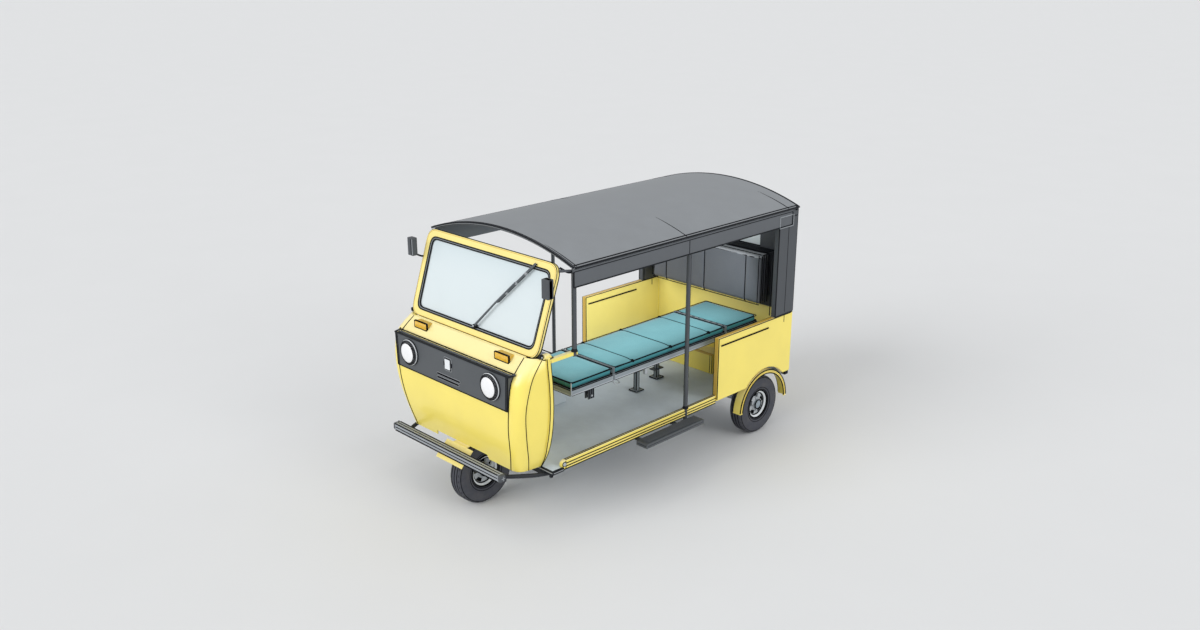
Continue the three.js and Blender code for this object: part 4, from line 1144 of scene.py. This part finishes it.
def pinched(piece, low, high, axis, places, depth, wide, facing):
    # presses sewn channels into the half that faces one way
    run, out = "xyz".index(axis), "xyz".index(facing[-1])
    way = -1 if facing[0] == "-" else 1
    for corner in piece.data.vertices:
        if way * corner.co[out] < way * (low[out] + high[out]) / 2:
            continue
        for place in places:
            gap = abs(corner.co[run] - place) / wide
            if gap < 1:
                corner.co[out] -= way * depth * (math.cos(gap * math.pi / 2)) ** 2


def cushion(name, node, soft, channels, finish, body="body"):
    # channels: their axis, places, depth, half width and the side they are sewn in
    low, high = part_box(node)
    pad = puffed(name, low, high, soft)
    pinched(pad, low, high, *channels)
    dressed(smoothed(pad, 60), finish, body, node)
    return pad


def hemLine(low, high, z, inset, radius=0.010, steps=4):
    # a level line round a cushion
    middle = (low + high) / 2
    return roundedLoop((middle.x, middle.y, z), "xy", high.x - low.x - 2 * inset, high.y - low.y - 2 * inset,
                       radius, steps)


padSoft = {"inset": (0.0045, 0.0045, 0.0005), "topInset": 0.0055, "round": 0.010, "voxel": 0.008,
           "pressure": 4, "cap": 0.0065, "crown": 0.003}
cotSections = {"front": "cot_front_section", "centre": "body", "rear": "cot_rear_section"}
padSeams = {"front": (), "centre": (aft(1.034), aft(1.392), aft(1.777)), "rear": ()}
for section, body in cotSections.items():
    node = f"cot_pad_{section}"
    low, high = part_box(node)
    pad = cushion(f"cot_mattress_{section}", node, padSoft, ("y", padSeams[section], 0.0052, 0.010, "+z"),
                  tealTop, body)
    twoTone(pad, tealSide, lambda face: face.center.z < high.z - 0.0105)
    loop = hemLine(low, high, high.z, 0.0135)
    around = [here.lerp(there, i / 12) for here, there in zip(loop, loop[1:] + loop[:1])
              for i in range(12 if (there - here).length > 0.02 else 1)]
    for name, line, thick in (("inner", onto(pad, around, (0, 0, -1), -0.0004), 0.0022),
                              ("top", hemLine(low, high, high.z - 0.0075, 0.0020), 0.0022),
                              ("lower", hemLine(low, high, low.z + 0.0045, 0.0016), 0.0026)):
        seam(f"cot_piping_{name}_{section}", line, thick, seamBlack, body, closed=True)
    for number, y in enumerate(padSeams[section]):
        # a welt over the top that runs down both flanks
        reach = high.x - low.x - 0.020
        across = [Vector((low.x + 0.010 + reach * i / 24, y, high.z)) for i in range(25)]
        ends = [[(x, y, high.z - 0.014), (x + inward, y, high.z - 0.0050)]
                for x, inward in ((low.x + 0.003, 0.001), (high.x - 0.003, -0.001))]
        welt = ends[0] + onto(pad, across, (0, 0, -1), -0.0016) + ends[1][::-1]
        seam(f"cot_welt_{number}", welt, 0.0045, seamBlack, body)
print("mattress sections sewn")

benchSoft = {"inset": (0.004, 0.004, 0.0005), "topInset": 0.006, "round": 0.009, "voxel": 0.006,
             "pressure": 4, "cap": 0.007, "crown": 0.004}
low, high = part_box("bench_cushion")
cushion("bench_pad", "bench_cushion", benchSoft, ("x", (-0.105, 0.105), 0.004, 0.010, "+z"), darkTrim)
seam("bench_piping", hemLine(low, high, high.z - 0.006, 0.0015, 0.012), 0.0026, seamBlack,
     closed=True)

backSoft = {"inset": (0.004, 0.0045, 0.004), "topInset": 0.005, "round": 0.016, "voxel": 0.007,
            "pressure": 4, "cap": 0.009, "crown": 0.003}
backSeams = (-0.370, 0.0, 0.376)
backRoll = 0.032  # depth of the pale roll along the top
low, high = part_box("backrest_cushion")
back = cushion("backrest_pad", "backrest_cushion", backSoft, ("x", backSeams, 0.007, 0.013, "-y"),
               darkTrim)
twoTone(back, trimRoll, lambda face: face.center.z > high.z - backRoll)
for number, x in enumerate(backSeams):
    welt = [Vector((x, low.y + 0.020, low.z + 0.004)), Vector((x, low.y + 0.005, low.z + 0.016)),
            Vector((x, low.y + 0.0045, high.z - backRoll))]
    seam(f"backrest_welt_{number}", welt, 0.0024, seamBlack)
    pipe = [spot + Vector((-0.0085, 0.0004, 0)) for spot in welt[1:]]
    seam(f"backrest_pipe_{number}", pipe, 0.0018, trimRoll)
foot, head = low.z + 0.016, high.z - 0.016
for side, way in sides.items():
    x, edgeX = way * (high.x - 0.0015), way * (high.x - 0.026)
    for name, start, end, thick in (
            ("end_rib_0", (x, low.y + 0.030, foot), (x, low.y + 0.030, head), 0.0020),
            ("end_rib_1", (x, low.y + 0.056, foot), (x, low.y + 0.056, head), 0.0020),
            ("end_seam", (edgeX, low.y + 0.0032, low.z + 0.012), (edgeX, low.y + 0.0032, high.z - 0.014),
             0.0022),
            ("piping_front", (x, low.y + 0.010, foot), (x, low.y + 0.010, head), 0.0024),
            ("piping_rear", (x, high.y - 0.010, foot), (x, high.y - 0.010, head), 0.0024),
            ("piping_top", (x, low.y + 0.016, high.z - 0.010), (x, high.y - 0.016, high.z - 0.010), 0.0024)):
        seam(f"backrest_{name}_{side}", [start, end], thick, seamBlack)
for name, y, z in (("front", low.y + 0.0040, high.z - backRoll), ("upper", low.y + 0.0085, high.z - 0.0055),
                   ("foot", low.y + 0.0055, low.z + 0.0055), ("rear", high.y - 0.0055, high.z - 0.010)):
    line = [(low.x + 0.012, y, z), (high.x - 0.012, y, z)]
    seam(f"backrest_roll_{name}", line, 0.0022, seamBlack)

seatSoft = {"inset": (0.007, 0.007, 0.0005), "topInset": 0.012, "round": 0.020, "voxel": 0.006,
            "pressure": 4, "cap": 0.012, "crown": 0.004}
low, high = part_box("driver_seat_cushion")
quarter = (high.x - low.x) / 4
channels = ("x", [low.x + quarter * i for i in (1, 2, 3)], 0.006, 0.012, "+z")
cushion("driver_seat_pad", "driver_seat_cushion", seatSoft, channels, darkTrim)
for name, z in (("top", high.z - 0.014), ("foot", low.z + 0.010)):
    line = hemLine(low, high, z, 0.003, 0.026, 6)
    seam(f"driver_seat_piping_{name}", line, 0.0032, seamBlack, closed=True)
print("seats and backrest padded")

# cot frames and hinges

cotEdges = {"left": (0.524, 1), "right": (0.050, -1)}
# below the frame's top: (middle, height, stand-off, finish)
cotStrips = {"flange": (0.0335, 0.007, 0.0016, forkGrey), "shadow": (0.0035, 0.006, 0.0006, seamBlack),
             "hem": (0.0388, 0.0036, 0.0016, seamBlack)}
for section, body in cotSections.items():
    shell(f"cot_frame_{section}", cotGrey, 0.0022, 2, body)
    low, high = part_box(f"cot_pad_{section}")
    for name, (drop, tall, proud, finish) in cotStrips.items():
        z = low.z - 0.001 - drop
        for edge, (x, way) in cotEdges.items():
            half = proud + way * 0.001
            slab(f"cot_{name}_{edge}_{section}", (x - half, low.y + 0.004, z - tall / 2),
                 (x + half, high.y - 0.004, z + tall / 2), 0.0009, 2, finish, body)
for section, y, way in (("front", lowOf("cot_frame_front").y, -1), ("rear", highOf("cot_frame_rear").y, 1)):
    body = cotSections[section]
    top = lowOf(f"cot_pad_{section}").z - 0.001
    for name in ("flange", "hem", "shadow"):
        drop, tall, proud, finish = cotStrips[name]
        slab(f"cot_{name}_end_{section}", (0.056, y - 0.001 - proud, top - drop - tall / 2),
             (0.518, y + 0.001 + proud, top - drop + tall / 2), 0.0009, 2, finish, body)
    # a latch under the frame, two plates with a bolt between them
    y -= way * 0.197
    for number, x in enumerate((0.462, 0.490)):
        slab(f"cot_latch_plate_{number}_{section}", (x, y - 0.026, top - 0.120),
             (x + 0.006, y + 0.026, top - 0.0405), 0.0022, 3, cotDark, body)
    for number, shift in enumerate((-0.018, 0.0, 0.018)):
        rib = [(0.4968, y + shift, top - drop) for drop in (0.117, 0.045)]
        seam(f"cot_latch_rib_{number}_{section}", rib, 0.0026, trimBlack, body)
    pin(f"cot_latch_bolt_{section}", (0.455, y, top - 0.098), (0.503, y, top - 0.098), 0.0065, 20, 0.0012, 2,
        steelBright, body)

low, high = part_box("cot_pad_front")
for side, x in (("left", high.x - 0.0012), ("right", low.x + 0.0012)):
    corner = [(x, low.y + 0.0004, low.z - 0.038), (x, low.y + 0.0004, high.z - 0.004)]
    seam(f"cot_corner_{side}", corner, 0.0026, forkGrey, "cot_front_section")

hinges = {"front": (aft(0.856), 0.7755), "rear": (aft(1.950), 0.8575)}
for name, (y, z) in hinges.items():
    pin(f"cot_hinge_rod_{name}", (0.058, y, z), (0.516, y, z), 0.0026, 16, 0.0006, 2, steelBright)
    for number in range(9):
        x = 0.070 + number * 0.0535
        pin(f"cot_hinge_knuckle_{name}_{number}", (x - 0.012, y, z), (x + 0.012, y, z), 0.0034, 16, 0.0008, 2,
            cotDark)

# each pedestal: a footplate hem, ribs down the post and a cross head under the frame
pedestals = {"near": (0.140, aft(1.470), 0.560), "far": (0.075, aft(1.745), 0.482)}
plateTop = lowOf("cot_frame_centre").z + 0.0077
ribTop = lowOf("cot_frame_front").z + 0.004
diagonals = [(math.cos(math.radians(a)), math.sin(math.radians(a))) for a in (45, 135, 225, 315)]
for name, (x, y, collarZ) in pedestals.items():
    hem = roundedLoop((x, y, plateTop), "xy", 0.073, 0.073, 0.004, 3)
    seam(f"pedestal_hem_{name}", hem, 0.0026, seamBlack, closed=True)
    for number, (u, v) in enumerate(diagonals):
        rib = [(x + 0.0172 * u, y + 0.0172 * v, z) for z in (plateTop, ribTop)]
        seam(f"pedestal_rib_{number}_{name}", rib, 0.0024, seamBlack)
    slab(f"pedestal_collar_{name}", (x - 0.026, y - 0.048, collarZ - 0.004),
         (x + 0.026, y + 0.048, collarZ + 0.004), 0.0024, 3, cotDark)
    for number, (u, v) in enumerate(diagonals):
        nut = Vector((x + 0.0375 * u, y + 0.0375 * v, plateTop - 0.001))
        pin(f"pedestal_bolt_{number}_{name}", nut, nut + Vector((0, 0, 0.006)), 0.0052, 6, 0.0008, 2,
            steelBright)
lever = ((0.490, 0.884, 0.770), (0.490, 0.884, 0.742), (0.488, 0.900, 0.728), (0.480, 0.935, 0.714),
         (0.468, 0.962, 0.712), (0.455, 0.966, 0.720), (0.450, 0.955, 0.728))
seam("cot_fold_lever", [(x, aft(depth), z) for x, depth, z in lever], 0.0030, forkGrey,
     facets=5)
slab("cot_fold_pawl", (0.474, aft(1.172), 0.712), (0.494, aft(1.198), 0.7715), 0.005, 3, forkGrey)
print("cot frames dressed")

# wheels

tyre = {"steps": 96, "tread": 0.2125, "groove": 0.0075, "block": 0.0032,
        "side": ((0.036, 0.1045), (0.043, 0.1050), (0.0455, 0.110), (0.047, 0.118), (0.0495, 0.124),
                 (0.0525, 0.138), (0.0542, 0.153), (0.0545, 0.168), (0.0535, 0.183), (0.0515, 0.191),
                 (0.0490, 0.1975), (0.0455, 0.2035), (0.0410, 0.2080), (0.0360, 0.2102)),
        "grooves": (0.0240, 0, -0.0240), "grooveHalf": 0.0034,
        "rings": ((0.1120, 0.0462, 0.0030), (0.1275, 0.0508, 0.0020), (0.1985, 0.0480, 0.0026))}
rim = {"outline": ((0.0450, 0.1062), (0.0450, 0.1020), (0.0425, 0.0985), (0.0385, 0.0965), (0.0375, 0.0930),
                   (0.0345, 0.0905), (0.0335, 0.0870), (0.0280, 0.0850), (0.0240, 0.0820), (0.0225, 0.0780),
                   (0.0235, 0.0560), (0.0265, 0.0500), (0.0300, 0.0470), (0.0325, 0.0430), (0.0325, 0.0360)),
       "hub": ((0.0300, 0.0345), (0.0400, 0.0340), (0.0430, 0.0320), (0.0440, 0.0290), (0.0440, 0.0235),
               (0.0425, 0.0220), (0.0425, 0.0200), (0.0445, 0.0185), (0.0455, 0.0120), (0.0458, 0.0001)),
       "steps": 72, "openings": 5, "openShare": 0.54, "from": 0.0500, "to": 0.0770, "nuts": 5}
ringTurn = (0, math.pi / 2, 0)  # for a ring that faces sideways


def tyreOutline():
    crown = []
    for place in tyre["grooves"]:
        top, wide = tyre["tread"] - 1.1 * place ** 2, tyre["grooveHalf"]
        bottom = top - tyre["groove"]
        crown += [(place + wide + 0.0010, top), (place + wide, top - 0.0010), (place + wide * 0.7, bottom),
                  (place - wide * 0.7, bottom), (place - wide, top - 0.0010), (place - wide - 0.0010, top)]
    return [*tyre["side"], *crown, *[(-x, radius) for x, radius in reversed(tyre["side"])]]


def onAxle(centre, outline, way=1):
    return [centre + Vector((way * x, 0, radius)) for x, radius in outline]


def polar(face, centre):
    spot = face.center - centre
    return math.hypot(spot.y, spot.z), math.degrees(math.atan2(spot.z, spot.y)) % 360


def makeTyre(name, centre, node, body):
    outline = tyreOutline()
    piece = spun(name, onAxle(centre, [*outline, outline[0]]), centre, steps=tyre["steps"])
    sector = 360 / tyre["steps"]

    def shoulder(face):
        radius, angle = polar(face, centre)
        outside = abs(face.center.x - centre.x) > 0.036
        return 0.2025 < radius < 0.2098 and outside and int(angle / sector) % 3 == 0

    def tread(face):
        radius = polar(face, centre)[0]
        return abs(face.center.x - centre.x) < 0.036 and 0.15 < radius < tyre["tread"] - 0.0030

    faceMode(piece, shoulder)
    bpy.ops.mesh.inset(thickness=0.0006, depth=-tyre["block"], use_individual=False)
    objectMode()
    dressed(smoothed(piece, 32), tyreRubber, body, node)
    # the groove faces of the tread are painted near-black: painted shade in the grooves
    twoTone(piece, seamBlack, tread)
    for side, way in sides.items():
        for number, (radius, reach, thick) in enumerate(tyre["rings"]):
            hoop(f"{name}_ring_{number}_{side}", centre + Vector((way * reach, 0, 0)), ringTurn, radius,
                 thick, 72, 6, 70, seamBlack, body)


def makeRim(name, centre, node, body):
    loop = [*rim["outline"], *[(-x, radius) for x, radius in reversed(rim["outline"])], rim["outline"][0]]
    piece = spun(name, onAxle(centre, loop), centre, steps=rim["steps"])
    sector = 360 / rim["openings"]

    def opening(face):
        radius, angle = polar(face, centre)
        return rim["from"] < radius < rim["to"] and angle % sector < sector * rim["openShare"]

    def proud(face):
        return abs(face.center.x - centre.x)

    faceMode(piece, lambda face: opening(face) and proud(face) > 0.015)
    bpy.ops.mesh.inset(thickness=0.0015, use_boundary=True)
    bpy.ops.mesh.inset(thickness=0.0008, depth=-0.012)
    objectMode()
    dressed(smoothed(piece, 30), rimWhite, body, node)
    # painted shade: the outer flange and the stepped-in wall in black, the recessed disc in the greyer copy,
    # and the floors and walls of the openings in black
    twoTone(piece, seamBlack, lambda face: not 0.0848 < polar(face, centre)[0] < 0.0960)
    twoTone(piece, rimGreyPaintedShade, lambda face: polar(face, centre)[0] < 0.0780, 2)
    twoTone(piece, seamBlack, lambda face: opening(face) and proud(face) < 0.0212)
    for side, way in sides.items():
        hub = spun(f"{name}_hub_{side}", onAxle(centre, rim["hub"], way), centre, steps=48)
        dressed(smoothed(hub, 40), hubBlue, body)
        for part, reach, radius, thick, steps, facets in (("hub_ring", 0.0440, 0.0325, 0.0042, 48, 8),
                                                          ("step_0", 0.0450, 0.1030, 0.0034, 64, 6),
                                                          ("step_1", 0.0245, 0.0815, 0.0034, 64, 6)):
            hoop(f"{name}_{part}_{side}", centre + Vector((way * reach, 0, 0)), ringTurn, radius, thick,
                 steps, facets, 70, seamBlack, body)
        nuts = []
        for number in range(rim["nuts"]):
            angle = 2 * math.pi * (number + 0.5) / rim["nuts"]
            spot = centre + Vector((0, 0.0425 * math.cos(angle), 0.0425 * math.sin(angle)))
            start, end = (spot + Vector((way * reach, 0, 0)) for reach in (0.029, 0.0385))
            nuts.append(bar("wheel_nut", start, end, 0.0062, 6))
        dressed(eased(joined(f"{name}_nuts_{side}", nuts), 0.0008, 2), steelBright, body)


wheels = {"front": ("front_tyre", "front_rim", "front_wheel"),
          "rear_left": ("rear_tyre_left", "rear_rim_left", "rear_wheel_left"),
          "rear_right": ("rear_tyre_right", "rear_rim_right", "rear_wheel_right")}
for name, (tyreNode, rimNode, body) in wheels.items():
    centre = (lowOf(tyreNode) + highOf(tyreNode)) / 2
    centre.z = tyre["tread"]
    makeTyre(f"{name}_tyre", centre, tyreNode, body)
    centre.x = (lowOf(rimNode).x + highOf(rimNode).x) / 2
    makeRim(f"{name}_rim", centre, rimNode, body)
print("wheels turned")

# mudguards, fork and handlebar

guard = {"y": aft(2.239), "z": 0.2225, "from": 3, "to": 177,
         "beads": (("outer", 0.6562, 0.2630, 0.0032, seamBlack), ("inner", 0.5930, 0.2615, 0.0032, seamBlack),
                   ("lip", 0.6566, 0.2400, 0.0032, seamBlack),
                   ("crease", 0.6572, 0.2520, 0.0012, yellowDeepAndShade))}
guardAngles = [math.radians(guard["from"] + (guard["to"] - guard["from"]) * i / 48) for i in range(49)]
for side, way in sides.items():
    shell(f"rear_mudguard_{side}", yellowSide, 0.0018)
    for name, x, radius, thick, finish in guard["beads"]:
        arc = [(way * x, guard["y"] + radius * math.cos(angle), guard["z"] + radius * math.sin(angle))
               for angle in guardAngles]
        seam(f"rear_mudguard_bead_{name}_{side}", arc, thick, finish)
shell("front_mudguard", yellowPale, 0.0035, 3, "steering")
shell("front_fork", forkGrey, 0.003, 2, "steering")
shell("handlebar", trimBlack, 0.0012, 2, "steering", 40)
reach = highOf("handlebar").x
tips = [corner.co for corner in frame["nodes"]["handlebar"].data.vertices]
for side, way in sides.items():
    outer = [spot for spot in tips if way * spot.x > reach - 0.012]
    inner = [spot for spot in tips if reach - 0.15 < way * spot.x < reach - 0.07]
    tip = sum(outer, Vector()) / len(outer)
    root = sum(inner, Vector()) / len(inner) if inner else tip - Vector((way * 0.1, 0, 0))
    along = (tip - root).normalized()
    start = tip - along * 0.105
    pin(f"handlebar_grip_{side}", start, tip + along * 0.003, 0.0165, 28, 0.004, 3, gasketRubber,
        "steering")
    for number in range(7):
        spot = start + along * (0.012 + 0.013 * number)
        pin(f"handlebar_grip_rib_{number}_{side}", spot - along * 0.0028, spot + along * 0.0028, 0.0180, 28,
            0.0014, 2, gasketRubber, "steering")

# bumper

bumper = {"half": 0.530, "front": lowOf("front_bumper").y, "rear": lowOf("front_bumper").y + 0.046,
          "low": 0.403, "high": highOf("front_bumper").z, "ribs": 2, "gap": 0.0070, "deep": 0.0050,
          "corner": 0.008, "cap": 0.030}


def ribbedLoop():
    # the beam's section in (depth, height), ribs on the front and on the top, flat behind and below
    y0, y1, z0, z1 = (bumper[key] for key in ("front", "rear", "low", "high"))
    ribs, gap, deep, corner = (bumper[key] for key in ("ribs", "gap", "deep", "corner"))
    loop = [(y1, z0 + corner), (y1 - corner, z0), (y0 + corner, z0), (y0, z0 + corner)]
    pitch = (z1 - z0 - 2 * corner + gap) / ribs
    for i in range(1, ribs):
        z = z0 + corner + pitch * i - gap
        loop += [(y0, z), (y0 + deep, z + gap * 0.2), (y0 + deep, z + gap * 0.8), (y0, z + gap)]
    loop += [(y0, z1 - corner), (y0 + corner, z1)]
    pitch = (y1 - y0 - 2 * corner + gap) / ribs
    for i in range(1, ribs):
        y = y0 + corner + pitch * i - gap
        loop += [(y, z1), (y + gap * 0.2, z1 - deep), (y + gap * 0.8, z1 - deep), (y + gap, z1)]
    return loop + [(y1 - corner, z1), (y1, z1 - corner)]


def alongBumper(name, y, z, thick):
    reach = bumper["half"] - 0.026
    seam(f"bumper_{name}", [(-reach, y, z), (reach, y, z)], thick)


beam = traced("bumper_beam", [(0.02 - bumper["half"], y, z) for y, z in ribbedLoop()])
pushed(beam, (2 * bumper["half"] - 0.04, 0, 0))
dressed(eased(beam, 0.0010, 2), bumperGrey, "body", "front_bumper")
front, back, foot, top = (bumper[key] for key in ("front", "rear", "low", "high"))
pitch = (top - foot - 2 * bumper["corner"] + bumper["gap"]) / bumper["ribs"]
for number in range(1, bumper["ribs"]):
    shift = bumper["corner"] + pitch * number - bumper["gap"] / 2
    alongBumper(f"groove_front_{number}", front + 0.0022, foot + shift, 0.0027)
    alongBumper(f"groove_top_{number}", front + shift, top - 0.0022, 0.0027)
alongBumper("edge_0", front + 0.0014, top - 0.0014, 0.0028)
alongBumper("edge_1", front + 0.0014, foot + 0.0014, 0.0028)
alongBumper("edge_2", back - 0.0014, top - 0.0014, 0.0028)
for side, way in sides.items():
    start, end = way * (bumper["half"] - bumper["cap"]), way * bumper["half"]
    slab(f"bumper_cap_{side}", (start, front, foot), (end, back, top), 0.0105, 4, darkPanel)
    hub = Vector((end, (front + back) / 2, (foot + top) / 2))
    for number, (share, size) in enumerate(((0.10, 0.0452), (0.62, 0.0408))):
        middle = (start + (end - start) * share, hub.y, hub.z)
        ring = roundedLoop(middle, "yz", size, size, 0.0102, 4)
        seam(f"bumper_cap_ring_{number}_{side}", ring, 0.0018, bumperGrey, closed=True)
    for number, spoke in enumerate((Vector((0, 0.0125, 0)), Vector((0, 0, 0.0125)))):
        seam(f"bumper_cap_spoke_{number}_{side}", [hub - spoke, hub + spoke], 0.0018, bumperGrey)
stays = copied("front_bumper", "stays")
editAll(stays)
bpy.ops.mesh.bisect(plane_co=(0, back - 0.006, 0), plane_no=(0, 1, 0), clear_inner=True, use_fill=True)
objectMode()
dressed(eased(stays, 0.0016, 2), chassisBlack)

# sills and steps

sill = {"x": 0.6405, "lines": ((0.6415, 0.4105), (0.6415, 0.4295), (0.6330, 0.4485), (0.6215, 0.4485)),
        "ribs": ((0.6385, 0.4200), (0.6270, 0.4455), (0.6385, 0.4010)), "bolt": (0.015, 0.4265)}
step = {"out": 0.742, "in": 0.650, "bands": ((0.3565, 0.0042), (0.3670, 0.0034), (0.3775, 0.0042)),
        "treads": 6}
for side, way in sides.items():
    low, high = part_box(f"sill_{side}")
    shell(f"sill_{side}", yellowSide, 0.0035, 3)
    for number, (x, z) in enumerate(sill["lines"]):
        seam(f"sill_line_{number}_{side}", [(way * x, y, z) for y in (low.y + 0.030, high.y - 0.003)], 0.0024)
    seam(f"sill_nose_seam_{side}", [(way * 0.6418, low.y + 0.027, z) for z in (0.394, 0.4455)], 0.0020)
    for number, (x, z) in enumerate(sill["ribs"]):
        seam(f"sill_rib_{number}_{side}", [(way * x, y, z) for y in (low.y + 0.026, high.y - 0.004)], 0.0034,
             yellowSide)
    x, z = way * sill["x"], low.z + 0.003
    seam(f"sill_foot_{side}", [(x, low.y + 0.012, z), (x, high.y - 0.003, z)], 0.0028)
    shift, z = sill["bolt"]
    place = Vector((x, low.y + shift, z))
    for name, reach, radius, facets, edge, segments, finish, slot in (
            ("bolt", 0.0065, 0.0120, 28, 0.0022, 3, forkGrey, "silver_paint"),
            ("washer", 0.0030, 0.0165, 32, 0.0012, 2, seamBlack, "black_plastic")):
        pin(f"sill_{name}_{side}", place, place + Vector((way * reach, 0, 0)), radius, facets, edge, segments,
            finish)
    low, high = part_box(f"side_step_{side}")
    shell(f"side_step_{side}", bandGrey, 0.004, 3)
    middle = (way * (step["out"] + step["in"]) / 2, (low.y + high.y) / 2)
    for number, (z, inset) in enumerate(step["bands"]):
        loop = roundedLoop((*middle, z), "xy", step["out"] - step["in"] - 2 * inset,
                           high.y - low.y - 2 * inset, 0.008, 4)
        seam(f"step_band_{number}_{side}", loop, 0.0030, trimBlack, closed=True)
    for number in range(step["treads"]):
        x, z = way * (step["in"] + 0.016 + number * 0.012), high.z + 0.0002
        seam(f"step_tread_{number}_{side}", [(x, low.y + 0.020, z), (x, high.y - 0.020, z)], 0.0018, bandGrey)
print("bumper, sills and steps made")

# floor and underframe

# the floor takes the paler grey: painted light
shell("floor_pan", floorGreyPaintedLight, 0.003, 2)
lip = {"low": 0.3895, "high": 0.4125, "line": 0.4015, "front": lowOf("floor_pan").y}
for side, way in sides.items():
    sillY, front = lowOf(f"sill_{side}").y, lip["front"]
    # the front lip leaves the middle free for the fork and the turned wheel
    slab(f"floor_front_lip_{side}", (way * 0.270, front - 0.0015, lip["low"]),
         (way * 0.6360, front + 0.010, lip["high"]), 0.0030, 3, trimBlack)
    # the same lip turned round the corner as far as the sill
    slab(f"floor_edge_lip_{side}", (way * 0.6350, front - 0.0015, lip["low"]),
         (way * 0.6515, sillY + 0.006, lip["high"]), 0.0030, 3, trimBlack)
    for name, start, end in (("front", (0.28, front - 0.0018), (0.6460, front - 0.0018)),
                             ("side", (0.6518, front + 0.004), (0.6518, sillY - 0.002))):
        seam(f"floor_lip_line_{name}_{side}", [(way * x, y, lip["line"]) for x, y in (start, end)], 0.0018,
             lampGrey)
    pin(f"floor_nub_{side}", (way * 0.620, front + 0.012, 0.366), (way * 0.620, front + 0.012, 0.391), 0.012,
        24, 0.003, 3, trimBlack)
shell("chassis_frame", chassisBlack, 0.003, 2)
shell("rear_axle", forkGrey, 0.0015, 2, corner=40)
slab("rear_under_rail", (-0.640, aft(2.505), 0.375), (0.640, aft(2.545), 0.407), 0.006, 3, trimBlack)
print("floor and underframe made")

# boxes inside

shell("bench_box", yellowSide, 0.003, 2)
shell("engine_block", chassisBlack, 0.006, 3)
# the seat box takes the same paler grey: painted light
shell("driver_seat_box", floorGreyPaintedLight, 0.006, 3)
low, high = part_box("bench_box")
for name, places in (("left", (high.x - 0.004, high.x - 0.022)), ("right", (low.x + 0.004, low.x + 0.022))):
    for number, x in enumerate(places):
        seam(f"bench_edge_{number}_{name}", [(x, low.y - 0.0002, 0.418), (x, low.y - 0.0002, 0.556)], 0.0018)
slab("bench_kick_strip", (low.x + 0.002, low.y - 0.0018, 0.549), (high.x - 0.002, low.y + 0.010, 0.5625),
     0.0008, 2, yellowDeepAndShade)
low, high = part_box("driver_seat_box")
middle = (low + high) / 2
for name, y in (("front", low.y - 0.0003), ("rear", high.y + 0.0003)):
    loop = roundedLoop((middle.x, y, middle.z), "xz", high.x - low.x - 0.06, high.z - low.z - 0.06, 0.016, 5)
    seam(f"seat_box_panel_{name}", loop, 0.0018, closed=True)
slab("seat_box_latch", (low.x + 0.180, low.y - 0.008, high.z - 0.060),
     (low.x + 0.225, low.y + 0.002, high.z - 0.020), 0.003, 3, steelBright)
print("boxes made")

# the end: the finished pieces come back into the scene

for piece in list(waiting.objects):
    waiting.objects.unlink(piece)
    bpy.context.scene.collection.objects.link(piece)
bpy.data.collections.remove(waiting)
bpy.context.view_layer.update()
